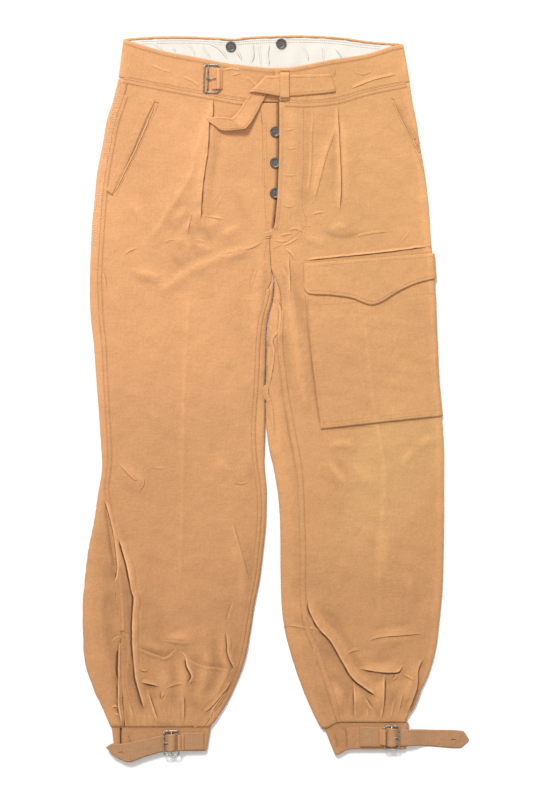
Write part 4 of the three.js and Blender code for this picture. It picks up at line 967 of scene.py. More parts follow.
# The wrinkles of the pale lining, written in the same way
liningCreases = [
    (0.7, 5, 1, 0.8, [(-97, 514), (-90, 511), (-82, 506), (-69, 490)]),
    (0.7, 5, 1, 0.9, [(-59, 506), (-55, 500), (-49, 488)]),
    (0.5, 4, 1, 0.8, [(-153, 509), (-149, 506), (-145, 502)]),
    (0.6, 6, 1, 0.3, [(-36, 517), (-34, 503), (-36, 485)]),
    (0.6, 6, -1, 0.3, [(-23, 517), (-21, 500), (-20, 482)]),
    (0.6, 6, 1, 0.3, [(-11, 516), (-13, 500), (-11, 482)]),
    (0.5, 6, 1, 0.3, [(-182, 517), (-171, 510), (-162, 503)]),
    (0.5, 6, 1, 0.25, [(35, 513), (42, 503), (47, 488)]),
    (0.5, 6, -1, 0.25, [(86, 510), (95, 501), (99, 491)]),
    (0.5, 6, 1, 0.3, [(-130, 516), (-123, 507), (-117, 496)]),
    (0.5, 6, -1, 0.25, [(67, 514), (71, 503), (70, 488)]),
    (0.5, 6, 1, 0.25, [(-110, 516), (-105, 506), (-95, 493)]),
]


liningForm = {"west": -212, "east": 175, "heights": (3.1, 1.9), "gather": 0.3, "wave": 0.7, "rise": 0.6,
              "shade": 0.3}


# The lining's lift and shade: gathers below its top edge over slow waves, and a dark line under the roll
def liningRise(x, y):
    top = read(backTop, 0, 1, x)
    gather = liningForm["gather"] * ripple(x, 41, 7) * ease(top - 14, top - 5, y)
    dark = liningForm["shade"] * ease(top - 3.4, top - 2.2, y)
    return gather + liningForm["wave"] * wander(x, 0.35 * y, 24, 43) + liningForm["rise"], dark


# The lining of the back waistband lies flat where the front one covers it.
def backLining():
    x = np.linspace(liningForm["west"], liningForm["east"], 210)[:, None]
    share = np.linspace(0, 1, 34)[None, :]
    y = mix(read(backSeam, 0, 1, x) + 2, read(backTop, 0, 1, x) - 2.1, share)
    x = x + 0 * y
    rise, dark = liningRise(x, y)
    seen = ease(read(frontTop, 0, 1, x) - 12, read(frontTop, 0, 1, x), y)
    rise = mix(0.15, rise, seen)
    layers = [np.stack([x, y, z + rise * up], -1) for z, up in zip(liningForm["heights"], (1, 0))]
    return addShell("waist_lining_cloth", *layers, lining, dark, ["waistband_lining"])


backLining()
rimRoll = {"west": -215, "east": 179, "fade": 6, "height": 2.9, "below": 1.4, "rise": 1.9}


# The rolled edge of the waist, from hip to hip: an arc about a line below the top, gathered by its stitching
def waistRim():
    x = np.linspace(rimRoll["west"], rimRoll["east"], 260)[:, None]
    top = read(backTop, 0, 1, x) + 0.4 * ripple(x, 31, 12)
    angle = np.linspace(-0.35 * np.pi, 1.05 * np.pi, 12)[None, :]
    ends = (ease(rimRoll["west"], rimRoll["west"] + rimRoll["fade"], x)
            * ease(rimRoll["east"], rimRoll["east"] - rimRoll["fade"], x))
    z = rimRoll["height"] + (rimRoll["rise"] * ends + 0.3 * ripple(x, 35, 8)) * np.sin(angle) + 0 * x
    grids = [np.stack([x + 0 * z, top - rimRoll["below"] + out * np.cos(angle),
                       mix(z, rimRoll["height"], hollow)], -1) for out, hollow in ((2.0, 0), (1.2, 0.4))]
    return addShell("waist_rim", *grids, cloth, rim=0.2)


waistRim()
print("waist made")


# The length of a line up to each of its points, and its point at a given length
def lengthsOf(line):
    return np.concatenate([[0], np.cumsum(np.linalg.norm(np.diff(line, axis=0), axis=1))])


def pointAt(line, lengths, at):
    return np.stack([np.interp(at, lengths, column) for column in line.T], -1)


def unit(vectors):
    return vectors / np.linalg.norm(vectors, axis=-1, keepdims=True)


# A strap between two edges, read smoothly through its stations: ax, ay, az, bx, by, bz. It waves along its
# normal, least at its edges, and its wall lies half on each side.
def strapGrid(stations, rows, cols, wall, crumple=0.25, seed=1):
    stations = np.array(stations, float)
    along = lengthsOf((stations[:, :3] + stations[:, 3:]) / 2)
    keyed = np.hstack([along[:, None], stations])
    at = np.linspace(0, along[-1], rows)
    a, b = [np.stack([read(keyed, 0, k, at) for k in ks], -1)[:, None, :] for ks in ((1, 2, 3), (4, 5, 6))]
    share = np.linspace(0, 1, cols)[None, :, None]
    points = mix(a, b, share)
    normal = unit(np.cross(np.broadcast_to(b - a, points.shape), np.gradient(points, axis=0)))
    distance = np.broadcast_to(at[:, None], points.shape[:2])
    swing = wander(distance, share[..., 0] * 30 + 0 * distance, 17, seed)
    edge = 1 - np.abs(2 * share[..., 0] - 1) ** 6
    points = points + (crumple * (swing + 0.4 * np.sin(distance * 1.9)) * edge)[..., None] * normal
    return points + normal * wall / 2, points - normal * wall / 2, normal


# The height at which the belt lies on the waistband
def bandTop(x):
    return legHeight + flyLift(np.array(float(x)), 440) + layerGap + beltWall / 2


# The belt, from its sewn end along the waistband, through its twist and down to its tip: both edges at each
# station
beltStations = [
    (87, 445, bandTop(85), 80, 471, bandTop(85)), (68, 442.5, bandTop(66), 65, 470.5, bandTop(66)),
    (52, 441, bandTop(50), 51, 470, bandTop(50)), (42, 440, bandTop(42), 42, 470, bandTop(42)),
    (32, 438.5, bandTop(32), 33, 469.5, bandTop(32)), (24, 438, bandTop(24), 25, 469, bandTop(24)),
    (8, 437.5, bandTop(6), 7, 468.5, bandTop(6)), (-12, 441, 11.6, -4, 467.5, 11.6),
    (-29, 443.5, 11.2, -9, 467.5, 11.2), (-36, 444, 10.8, -13, 467.5, 10.8),
    (-38.5, 443.6, 9.6, -14.5, 466.8, 9.6), (-37.6, 441.5, 8.3, -11.5, 462, 8.3),
    (-41, 436, 7.4, -10.5, 452, 7.4), (-46, 429, 7.2, -14, 440, 7.2), (-52, 420, 7.8, -21, 426, 7.8),
    (-58, 412, 9.6, -30, 409, 9.6), (-62, 407, 12.4, -38, 396.5, 12.4), (-65, 405.5, 13.6, -43.5, 390.6, 14),
    (-71, 407, 12.6, -57, 388.6, 12.6), (-80, 408.3, 10.8, -70, 387.6, 10.8),
    (-89, 408.3, 9.6, -80, 389.2, 9.6), (-97, 407.4, 9, -88, 395, 9), (-101.8, 406.4, 8.8, -98, 402, 8.8),
]


# A station of the belt, raised where the cloth below it stands higher
def clearOfCloth(station):
    ax, ay, az, bx, by, bz = [float(part) for part in station]
    ground = legHeight + clothLift(np.array([ax, bx]), np.array([ay, by])) + 2 * layerGap + beltWall / 2
    return ax, ay, max(az, ground[0]), bx, by, max(bz, ground[1])


beltGrid = strapGrid([clearOfCloth(station) for station in beltStations], 230, 15, beltWall, 0.22, 51)
addShell("belt_strap_cloth", *beltGrid[:2], cloth, replaced=["belt_strap"])
loopForm = {"x": 13, "width": 13.4, "foot": 431.5, "top": 476.2, "heights": (1.5, 0.1), "edgeRoll": 0.5}


# The belt loop: sewn down at both ends, standing over the belt between them, its long edges rolled down
def beltLoop():
    base = legHeight + flyLift(np.array(float(loopForm["x"])), 440) + layerGap
    over = base + beltWall + 2 * layerGap
    stations = np.array([
        (loopForm["foot"], base), (434.6, base), (436.6, over), (446, over + 0.3), (461, over + 0.3),
        (470.4, over), (472.4, base), (loopForm["top"], base),
    ])
    y = np.linspace(loopForm["foot"], loopForm["top"], 60)[:, None]
    share = np.linspace(-0.5, 0.5, 13)[None, :]
    x = loopForm["x"] + loopForm["width"] * share
    z = read(stations, 0, 1, y) + 0.15 * wander(x, y, 9, 61) - loopForm["edgeRoll"] * (2 * share) ** 4
    layers = [np.stack([x + 0 * z, y + 0 * z, z + height], -1) for height in loopForm["heights"]]
    return addShell("belt_loop_cloth", *layers, cloth, replaced=["belt_loop"])


beltLoop()


# A strip that lies on a leg, puffed a little
def onTop(name, plan, leg, wall, node):
    x, y = plan[..., 0], plan[..., 1]
    base = topHeight(x, y, leg)
    puff = 0.2 * wander(x, y, 12, 71)
    layers = [np.stack([x, y, base + height + puff], -1) for height in (layerGap + wall, -0.4)]
    return addShell(name, *layers, cloth, clothFields(x, y)[1], [node])


# The plan of a hip pocket's welt, read smoothly through pairs of points on its two edges
def weltPlan(rows):
    rows = np.array(rows, float)
    keyed = np.hstack([np.linspace(0, 1, len(rows))[:, None], rows])
    at = np.linspace(0, 1, 70)
    a, b = [np.stack([read(keyed, 0, k, at) for k in ks], -1)[:, None, :] for ks in ((1, 2), (3, 4))]
    return mix(a, b, np.linspace(0, 1, 9)[None, :, None])


rightWelt = weltPlan([
    (-184.5, 436, -175, 431), (-200, 404, -190, 400), (-216, 366, -206, 361), (-232, 330, -222, 325),
    (-246.5, 301, -237, 296),
])
leftWelt = weltPlan([(171, 431.5, 180, 435.5), (181, 412, 191.5, 414), (190, 393, 199, 394),
                     (197, 376, 203.5, 376.5)])
onTop("pocket_welt_right_cloth", rightWelt, rightLeg, 0.5, "pocket_welt_right")
onTop("pocket_welt_left_cloth", leftWelt, leftLeg, 0.5, "pocket_welt_left")

# The thigh pocket and its flap run from the pocket's front edge round the leg's outer edge.
pocketFront = np.array([(186, 41.5), (151, 43), (99, 47), (-2, 60), (-44, 65)])
pocketFoot = np.array([(41, -46), (65, -44), (150, -34.5), (241, -25)])
flapTop = np.array([(41.0, 196), (130, 203), (229, 211)])
flapFoot = np.array([
    (41, 160), (47, 152.5), (78, 150.5), (110, 146), (142, 136.5), (182, 158), (204, 167.5), (232, 175),
])
pocketForm = {"top": 185, "foot": -44, "outer": 236.0, "stand": 1.2, "puff": 0.5, "wave": 0.35}
flapForm = {"start": 41, "wall": 1.7, "curl": 0.7, "wave": 0.3}


# A patch on the left leg: rows run from its start across to the leg's outer edge, then round that edge.
def pocketGrid(lift, rows, cols, startX, heightAt):
    v = np.linspace(0, 1, rows)[:, None]
    edgeY = heightAt(np.array([[pocketForm["outer"]]]), v)
    depth = -lift(pocketForm["outer"], edgeY)
    turn = np.linspace(edgeTurn, edgeTurn * 0.2, 6)[None, :]
    bendX, bendZ = ringPoint(leftLeg, edgeY + 0 * turn, True, turn, depth)
    x = mix(startX(v), bendX[:, :1], np.linspace(0, 1, cols, endpoint=False)[None, :])
    y = heightAt(x, v)
    z = topHeight(x, y, leftLeg) + lift(x, y)
    bendY = heightAt(bendX, v)
    bendZ = bendZ + clothLift(bendX, bendY) * liftShare(bendZ)
    return np.stack([np.hstack([x, bendX]), np.hstack([y, bendY]), np.hstack([z, bendZ])], -1)


# How far the pocket stands off the leg, with slow waves
def pocketStand(x, y):
    return layerGap + pocketForm["stand"] + (pocketForm["wave"] * wander(x, y, 30, 81) + pocketForm["puff"])


# The pocket's patch, from its front edge, between its foot and the flap
def thighPocket():
    def heightAt(x, v):
        return mix(read(pocketFoot, 0, 1, x), pocketForm["top"], v)

    def startX(v):
        return read(pocketFront, 0, 1, mix(pocketForm["foot"], pocketForm["top"], v))

    outer = pocketGrid(pocketStand, 110, 90, startX, heightAt)
    inner = pocketGrid(lambda x, y: -0.4 + 0 * y, 110, 90, startX, heightAt)
    dark = clothFields(outer[..., 0], outer[..., 1])[1]
    return addShell("thigh_pocket_cloth", outer, inner, cloth, dark, ["thigh_pocket"], 0.3)


# The flap stands over the pocket, and comes down to the leg at its top.
def flapStand(x, y):
    down = ease(191, 206, y - (x - flapForm["start"]) * 0.08)
    return mix(2 * layerGap + flapForm["wall"], layerGap, down)


# The flap, between its sewn top and its shaped foot, whose edge curls up here and there
def thighFlap():
    def heightAt(x, v):
        return mix(read(flapFoot, 0, 1, x), read(flapTop, 0, 1, x), v)

    # The foot's edge curls up, more in some places than in others, and the whole flap waves slowly.
    def curl(x, y):
        low = read(flapFoot, 0, 1, x)
        foot = flapForm["curl"] * ease(low + 14, low, y) * (0.6 + 0.4 * ripple(x, 84, 30))
        return foot + flapForm["wave"] * wander(x, y, 24, 83)

    grids = [pocketGrid(lambda x, y: flapStand(x, y) + height + curl(x, y), 50, 100,
                        lambda v: flapForm["start"] + 0 * v, heightAt) for height in (flapForm["wall"], 0.2)]
    return addShell("thigh_flap_cloth", *grids, cloth, replaced=["thigh_pocket_flap"])


thighPocket()
thighFlap()
print("pockets made")

# How far in from its tip a cuff's edge bends, and the cuffs' creases: how deep, how wide, how much painted
# shade, path
cuffRound = 5
cuffCreases = [
    (0.8, 2.6, 0.3, [(-214, -485), (-211, -498), (-213, -512)]),
    (0.8, 2.6, 0.3, [(-121, -483), (-123, -496), (-120, -512)]),
    (0.8, 2.6, 0.3, [(84, -486), (89, -498), (89, -509)]),
    (0.9, 2.6, 0.4, [(100, -475), (103, -492), (102, -508)]),
]


# An ankle cuff is a flattened band: it starts beside its opening, turns round its first edge and comes back
# round the other, and its top wall puckers along the sewn edges.
def cuff(name, topY, footY, first, second, face, opening, droop):
    half = cuffHeight / 2
    v = np.linspace(0, 1, 30)[:, None]
    firstX = mix(*first, v)
    secondX = mix(*second, v)
    towards = np.sign(secondX - firstX)
    layers = []
    for depth in (0, bandWall):
        angle = np.linspace(np.pi / 2, -np.pi / 2, 13)[None, :]
        start = opening[0] + 0 * v
        turnOne = firstX + towards * (cuffRound - (cuffRound - depth) * np.cos(angle))
        turnTwo = secondX - towards * (cuffRound - (cuffRound - depth) * np.cos(angle))[:, ::-1]
        swing = (half - depth) * np.sin(angle * face)
        flatOne = mix(start, turnOne[:, :1], np.linspace(0, 1, 60, endpoint=False)[None, :])
        flatTwo = mix(turnOne[:, -1:], turnTwo[:, :1], np.linspace(0, 1, 70)[None, 1:-1])
        flatEnd = mix(turnTwo[:, -1:], opening[1] + 0 * v, np.linspace(0, 1, 16)[None, 1:])
        x = np.hstack([flatOne, turnOne, flatTwo, turnTwo, flatEnd])
        z = half + np.hstack([
            face * (half - depth) + 0 * flatOne, swing + 0 * turnOne, -face * (half - depth) + 0 * flatTwo,
            swing[:, ::-1] + 0 * turnTwo, face * (half - depth) + 0 * flatEnd,
        ])
        lowEdge = np.minimum(firstX, secondX)
        sag = droop * (1 - ease(0, 26, x - lowEdge)) ** 1.5
        pucker = (0.3 * ripple(x, 91, 8) + 0.25) * (ease(0.25, 0.02, v) + ease(0.75, 0.98, v))
        creased = np.zeros(x.shape)
        dark = np.zeros(x.shape)
        y = mix(topY, footY, v) - sag
        for deep, width, shade, path in cuffCreases:
            addFold(creased, x, y, -deep, width + 1, width + 1, 1.5, path, 6)
            addFold(dark, x, y, shade, width, width, 1.3, path, 6)
        # Painted shade along the cuff's top edge, where the leg overhangs it, and a little along its foot
        dark = dark + 0.3 * ease(0.09, 0, v) + 0.16 * ease(0.9, 1, v)
        above = z > half
        z = z + np.where(above, np.minimum(pucker * 0.4 + creased, 0.35), 0)
        layers.append(np.stack([x, y, z], -1))
    return addShell(f"{name}_cloth", *layers, cuffCloth, dark * (layers[0][..., 2] > half), [name])


cuffForms = {
    "cuff_right": {"topY": -476.4, "footY": -510.5, "first": (-94.5, -100), "second": (-238, -234),
                   "face": 1, "opening": (-223, -226), "droop": 0},
    "cuff_left": {"topY": -470, "footY": -508, "first": (71, 86), "second": (193, 189),
                  "face": -1, "opening": (166, 171), "droop": 9},
}
for name, form in cuffForms.items():
    cuff(name, **form)

# The ankle straps, from the sewn end over the buckle's bar to the tip

cuffTop = cuffHeight + layerGap + beltWall / 2
overBar = cuffTop + beltWall + 2 * layerGap + 2 * wireRadius
floorTop = beltWall / 2
rightTail = [
    (-104, -509, cuffTop, -104, -483, cuffTop), (-122, -509.6, cuffTop, -122, -483.4, cuffTop),
    (-142.8, -510.3, cuffTop, -142.4, -484.5, cuffTop), (-149, -510.6, overBar, -148.6, -485, overBar),
    (-153.4, -510.8, overBar, -153, -485.5, overBar), (-159.6, -511.2, cuffTop, -159.2, -486.5, cuffTop),
    (-167, -512.4, cuffTop, -168, -488, cuffTop), (-190, -519, cuffTop, -195, -494, cuffTop),
    (-212, -526.8, cuffTop, -224, -499.5, cuffTop), (-223, -523.6, cuffTop, -237, -499.5, cuffTop),
    (-236, -516.5, cuffTop, -246.4, -505, cuffTop),
]
leftTail = [
    (122, -504.5, cuffTop, 122, -474.5, cuffTop), (150, -504.5, cuffTop, 150, -475.2, cuffTop),
    (159.8, -504.2, cuffTop, 159.8, -476, cuffTop), (165.4, -504, overBar, 165.4, -476.5, overBar),
    (170.6, -503.8, overBar, 170.6, -477.2, overBar), (176.4, -503.6, cuffTop, 176.4, -478, cuffTop),
    (186, -503.4, cuffTop, 186, -478.6, cuffTop), (194, -503, cuffTop, 194, -479, cuffTop),
    (202, -503, cuffTop - 1.8, 202, -479.3, cuffTop - 1.8), (212, -503.5, 2.8, 212, -479.8, 2.8),
    (222, -504.3, floorTop, 222, -480.3, floorTop), (268, -507, floorTop, 272, -482.4, floorTop),
    (275, -502, floorTop, 277.4, -489, floorTop), (279.4, -498, floorTop, 280.7, -494.5, floorTop),
]
rightTailGrid = strapGrid(rightTail, 150, 13, beltWall, 0.14, 101)
leftTailGrid = strapGrid(leftTail, 160, 13, beltWall, 0.05, 102)
addShell("cuff_strap_right_cloth", *rightTailGrid[:2], tailCloth,
                                replaced=["cuff_strap_right"])
addShell("cuff_strap_left_cloth", *leftTailGrid[:2], tailCloth,
                               replaced=["cuff_strap_left"])
print("cuffs made")


# Round stock along a path: a ring of points about each station, closed on itself or capped
def sweep(path, radii, sides=12, closed=False):
    path = np.array(path, float)
    radii = np.broadcast_to(radii, len(path))
    run = unit(np.roll(path, -1, 0) - np.roll(path, 1, 0) if closed else np.gradient(path, axis=0))
    across = unit(np.cross(run, [0, 0, 1.0]))
    up = np.cross(across, run)
    angle = np.linspace(0, 2 * np.pi, sides, endpoint=False)
    ring = across[:, None] * np.cos(angle)[:, None] + up[:, None] * np.sin(angle)[:, None]
    points = path[:, None] + ring * radii[:, None, None]
    index = np.arange(len(path) * sides).reshape(-1, sides)
    after = np.roll(index, -1, 0) if closed else index[1:]
    before = index if closed else index[:-1]
    faces = np.stack([before, np.roll(before, -1, 1), np.roll(after, -1, 1), after], -1).reshape(-1, 4)
    caps = [] if closed else [index[0][::-1].tolist(), index[-1].tolist()]
    return points.reshape(-1, 3), faces.tolist() + caps


# Several lengths of round stock in one mesh
def joined(name, parts, material, replaced=()):
    points = []
    faces = []
    count = 0
    for partPoints, partFaces in parts:
        faces += [[i + count for i in face] for face in partFaces]
        points.append(partPoints)
        count += len(partPoints)
    return addMesh(name, np.vstack(points), faces, material, None, replaced)


buckleForm = {"corner": 3.4, "prongArch": 1.9, "eye": 1.9, "prongRadii": (0.95, 0.6), "eyeWire": 0.75}


# A wire buckle: a rounded frame, the bar across it and a prong wrapped on the bar. The frame is four quarter
# circles joined by straight wire, and the whole is turned by the tilt and moved to its place.
def buckle(name, x, y, base, width, length, bar, tilt, prongSide):
    corner = buckleForm["corner"]
    halfX = width / 2 - wireRadius
    halfY = length / 2 - wireRadius
    quarter = np.linspace(0, np.pi / 2, 7)
    frameLine = np.vstack([np.stack([
        sx * (halfX - corner) + corner * np.cos(quarter + k * np.pi / 2),
        sy * (halfY - corner) + corner * np.sin(quarter + k * np.pi / 2),
    ], -1) for k, (sx, sy) in enumerate([(1, 1), (-1, 1), (-1, -1), (1, -1)])])
    around = smoothPath(np.vstack([frameLine, frameLine[:1]]), 2)[:-1]
    barX = -halfX + 2 * halfX * bar
    barLine = np.stack([0 * quarter + barX, np.linspace(-halfY, halfY, 7), 0 * quarter], -1)
    share = np.linspace(0, 1, 14)
    arch = buckleForm["prongArch"] * np.sin(np.pi * share) ** 0.6
    prongLine = np.stack([mix(barX, prongSide * halfX, share), 0.6 * share, arch], -1)
    turn = np.linspace(0.2, 2 * np.pi - 0.2, 18)
    eye = np.stack([barX + buckleForm["eye"] * np.cos(turn), 0.4 * turn - 1.2,
                    buckleForm["eye"] * np.sin(turn)], -1)
    parts = [
        sweep(np.hstack([around, np.zeros((len(around), 1))]), wireRadius, 12, True),
        sweep(barLine, wireRadius * 0.9, 10),
        sweep(prongLine, mix(*buckleForm["prongRadii"], share), 10),
        sweep(eye, buckleForm["eyeWire"], 8),
    ]
    tilted = np.array([(np.cos(tilt), np.sin(tilt), 0), (-np.sin(tilt), np.cos(tilt), 0), (0, 0, 1)])
    placed = [(points @ tilted + (x, y, base + wireRadius), faces) for points, faces in parts]
    return joined(f"{name}_wire", placed, wireMetal, [name])


# Each buckle: middle x and y, height, width, length, the bar's share of the width, tilt, the prong's side
cuffBuckleBase = cuffHeight + 2 * layerGap + beltWall
buckles = {
    "belt_buckle": (-93.5, 464, legHeight + layerGap, 23, 42, 0.27, -0.03, 1),
    "cuff_buckle_right": (-151, -498.4, cuffBuckleBase, 24, 37, 0.5, 0.0, -1),
    "cuff_buckle_left": (168, -490.6, cuffBuckleBase, 23, 36, 0.5, 0.0, 1),
}
for wire in [buckle(name, *form) for name, form in buckles.items()]:
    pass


# The tab that holds a buckle's end bar: it arches over the bar on the given side and is sewn down beyond.
def buckleTab(name, holds, outward, shift, halfWidth, outerFoot, innerFoot, wall):
    middleX, middleY, base, width = buckles[holds][:4]
    barX = middleX + outward * (width / 2 - wireRadius)
    over = base + 2 * wireRadius + 2 * layerGap
    inner = [(-innerFoot, base), (-3.6, base), (-2.2, over - 0.6)] if innerFoot else [(-1.5, over - 0.2)]
    stations = np.array(inner + [(0, over + 0.2), (2.2, over - 0.6), (4.2, base), (outerFoot, base)])
    across = np.linspace(stations[0, 0], stations[-1, 0], 40)[:, None]
    share = np.linspace(-1, 1, 17)[None, :]
    z = read(stations, 0, 1, across) + 0.15 * wander(across, share * 12, 7, 111)
    x = barX + outward * across + 0 * share
    y = middleY + shift + halfWidth * share + 0 * across
    layers = [np.stack([x, y, z + height], -1) for height in (wall, 0)]
    return addShell(f"{name}_cloth", *layers, cloth, replaced=[name])


buckleTab("belt_buckle_tab", "belt_buckle", 1, -0.6, 15.5, 6, 9.4, 1.2)
buckleTab("cuff_tab_right", "cuff_buckle_right", 1, 0.6, 11.5, 7, 0, 1.1)
buckleTab("cuff_tab_left", "cuff_buckle_left", -1, 0.6, 11.5, 7, 0, 1.1)


buttonForm = {
    "profile": [(0.02, 0), (6.4, 0), (7.3, 0.3), (buttonRadius, 0.9), (7.6, 1.7), (7.1, buttonHeight),
                (6.3, 2.15), (5.6, 1.8), (5, 1.45), (3.6, 1.36), (2, 1.36), (0.02, 1.36)],
    "sides": 48, "eye": 1.7, "strand": 0.36,
}


# A sewn button: its profile of radius and height turned round into a dished disc with a raised rim, and
# thread that runs between its four eyes in arches
def button(name, x, y, z):
    profile = np.array(buttonForm["profile"])
    sides = buttonForm["sides"]
    angle = np.linspace(0, 2 * np.pi, sides, endpoint=False)
    ring = np.stack([np.cos(angle), np.sin(angle)], -1)
    points = np.concatenate([
        profile[:, None, :1] * ring[None], np.broadcast_to(profile[:, None, 1:], (len(profile), sides, 1)),
    ], -1)
    eyes = buttonForm["eye"] * np.array([(1, 1), (-1, 1), (-1, -1), (1, -1)])
    index = np.arange(len(profile) * sides).reshape(-1, sides)
    faces = np.stack([index[:-1], np.roll(index[:-1], -1, 1), np.roll(index[1:], -1, 1), index[1:]], -1)
    body = (points.reshape(-1, 3) + (x, y, z), faces.reshape(-1, 4).tolist()
            + [index[0][::-1].tolist(), index[-1].tolist()])
    disc = joined(f"{name}_disc", [body], buttonPlastic, [name])
    strands = []
    for a, b in ((0, 1), (2, 3), (0, 3), (1, 2)):
        share = np.linspace(0, 1, 9)[:, None]
        line = mix(eyes[a], eyes[b], share)
        rise = 1.25 + 0.75 * np.sin(np.pi * share)
        strands.append(sweep(np.hstack([line, rise]) + (x, y, z), buttonForm["strand"], 8))
    joined(f"{name}_thread", strands, buttonThread)


for i, (x, y) in enumerate([(-0.4, 387), (-0.8, 342), (-1, 298)]):
    button(f"fly_button_{i + 1}", x, y, legHeight + seamGap)
for i, (x, y) in enumerate([(-65, 510.6), (8, 514.9)]):
    button(f"brace_button_{i + 1}", x, y, clothWall + liningWall + 2 * seamGap)
print("fittings made")


# Evenly spaced stations along a path, with the direction at each
def stationsAlong(path, pitch):
    path = smoothPath(path, 8)
    lengths = lengthsOf(path)
    at = np.arange(pitch / 2, lengths[-1], pitch)
    run = unit(pointAt(path, lengths, at + 0.5) - pointAt(path, lengths, at - 0.5))
    return pointAt(path, lengths, at), run, at


# The direction to the left of a run in plan
def leftOf(run):
    return np.stack([-run[:, 1], run[:, 0]], -1)


# A line of stitches on a surface, moved to the path's left and lifted
def sewnLine(path, offset, heightAt, lifted=0):
    path = smoothPath(path, 4)
    path = smoothPath(path + offset * leftOf(unit(np.gradient(path, axis=0))), 3)
    return np.column_stack([path, heightAt(path[:, 0], path[:, 1]) + lifted])


# A line of stitches down one column of a strap, on whichever face is uppermost
def strapLine(grid, share, first, last):
    outer, inner, normal = grid
    column = int(round(share * (outer.shape[1] - 1)))
    rows = slice(int(first * len(outer)), int(last * len(outer)))
    middle = (outer + inner)[rows, column] / 2
    up = normal[rows, column]
    return middle + up * np.sign(up[:, 2:]) * (beltWall / 2 + 0.1)


# Stitches are short rounded lengths of thread along lines, drawn together in one mesh.
def addStitches(name, lines, material, pitch=stitchPitch, seed=7, loose=0.08):
    draw = np.random.default_rng(seed)
    centres = []
    runs = []
    for line in lines:
        lengths = lengthsOf(line)
        at = np.arange(pitch / 2, lengths[-1], pitch)
        centres.append(pointAt(line, lengths, at))
        runs.append(pointAt(line, lengths, at + 1) - pointAt(line, lengths, at - 1))
    centre = np.vstack(centres)
    run = unit(np.vstack(runs))
    run = unit(run + draw.normal(0, loose, run.shape) * (1, 1, 0.2))
    centre = centre + draw.normal(0, loose, centre.shape) * (1, 1, 0.3)
    across = unit(np.cross(run, [0, 0, 1.0]))
    up = np.cross(across, run)
    half = stitchLength / 2 * draw.uniform(0.88, 1.08, (len(centre), 1))
    sides = 5
    angle = np.linspace(0, 2 * np.pi, sides, endpoint=False)
    rings = [centre - run * half]
    for along, radius in ((-0.72, 0.75), (0, 1), (0.72, 0.75)):
        for a in angle:
            sideways = across * np.cos(a) + up * np.sin(a)
            rings.append(centre + run * half * along + sideways * threadRadius * radius)
    rings.append(centre + run * half)
    points = np.stack(rings, 1)
    ring = 1 + np.arange(3 * sides).reshape(3, sides)
    after = np.roll(ring, -1, 1)
    start = np.stack([0 * ring[0], after[0], ring[0]], -1)
    walls = np.stack([ring[:-1], after[:-1], after[1:], ring[1:]], -1).reshape(-1, 4)
    end = np.stack([ring[2], after[2], 0 * ring[2] + 3 * sides + 1], -1)
    firsts = np.arange(len(centre))[:, None] * points.shape[1]
    faces = [row for face in (*start, *walls, *end) for row in (face + firsts).tolist()]
    return addMesh(name, points.reshape(-1, 3), faces, material)


# A felled seam: a low raised band that follows the cloth, pinched along its stitch lines
def addSeam(name, path, width, lines, heightAt, rise, seed):
    centre, run, at = stationsAlong(path, 1.8)
    offsets = np.linspace(-width / 2, width / 2, 13)
    plan = centre[:, None] + offsets[None, :, None] * leftOf(run)[:, None]
    x, y = plan[..., 0], plan[..., 1]
    form = rise * (1 - np.abs(offsets / (width / 2)) ** 8)
    for line in lines:
        form = form - 0.22 * np.exp(-((offsets - line) / 0.7) ** 2)
    pinch = 0.13 * (ripple(at, seed, 5)[:, None] + 0.5 * np.sin(at * 2 * np.pi / stitchPitch)[:, None])
    z = heightAt(x, y) + form[None] + pinch * (1 - np.abs(offsets / (width / 2)) ** 4)[None]
    # Painted shade in the pinches along the stitch lines
    dark = np.broadcast_to(0.13 * sum(np.exp(-((offsets - line) / 0.8) ** 2) for line in lines), x.shape)
    ends = ease(0, 3, at) * ease(0, 3, at[-1] - at)
    z = z - (1 - ends)[:, None] * rise
    layers = [np.stack([x, y, z], -1), np.stack([x, y, heightAt(x, y) - 0.5], -1)]
    return addShell(name, *layers, cloth, dark, rim=0.3)


# The heights of the surfaces that creases, seams and stitches lie on
def onRight(x, y):
    return topHeight(x, y, rightLeg)


def onLeft(x, y):
    return topHeight(x, y, leftLeg)


def onBandRight(x, y):
    return bandTopHeight(x, y, rightLeg)


def onBandLeft(x, y):
    return bandTopHeight(x, y, leftLeg)


def onLining(x, y):
    return 3.2 + liningRise(x, y)[0]


def onPocket(x, y):
    return onLeft(x, y) + pocketStand(x, y)


def onFlap(x, y):
    return onLeft(x, y) + flapStand(x, y) + flapForm["wall"] + flapForm["wave"] * wander(x, y, 24, 83)


def onCuffStrap(x, y):
    return cuffTop + beltWall / 2 + 0.12 + 0 * x


def onCuff(x, y):
    return cuffHeight + 0.3 + 0 * x


# Each folded crease has a lip: a thin strip on the cloth with painted shade at its foot, a steep wall, a
# crest, and a slope back down. Its section gives the place across, in millimetres up to the crest and then as
# a share of the reach, the share of the height, and how much painted shade it carries, below zero where a
# painted highlight lies on the crest.
lipAcross = np.array([-3, -1.7, -0.9, -0.35, 0, 0.35, 0.8, 1.6, 3])
lipHigh = np.array([-0.35, 0, 0.04, 0.2, 0.6, 0.9, 1, 0.93, 0.74])
lipPaintedShadeAndHighlight = np.array([0, 0.35, 1, 1, 0.9, 0.3, -0.35, -0.5, -0.2])
slopeAcross = np.array([0.45, 0.62, 0.8, 1])
slopeHigh = np.array([0.5, 0.26, 0.06, -0.35])


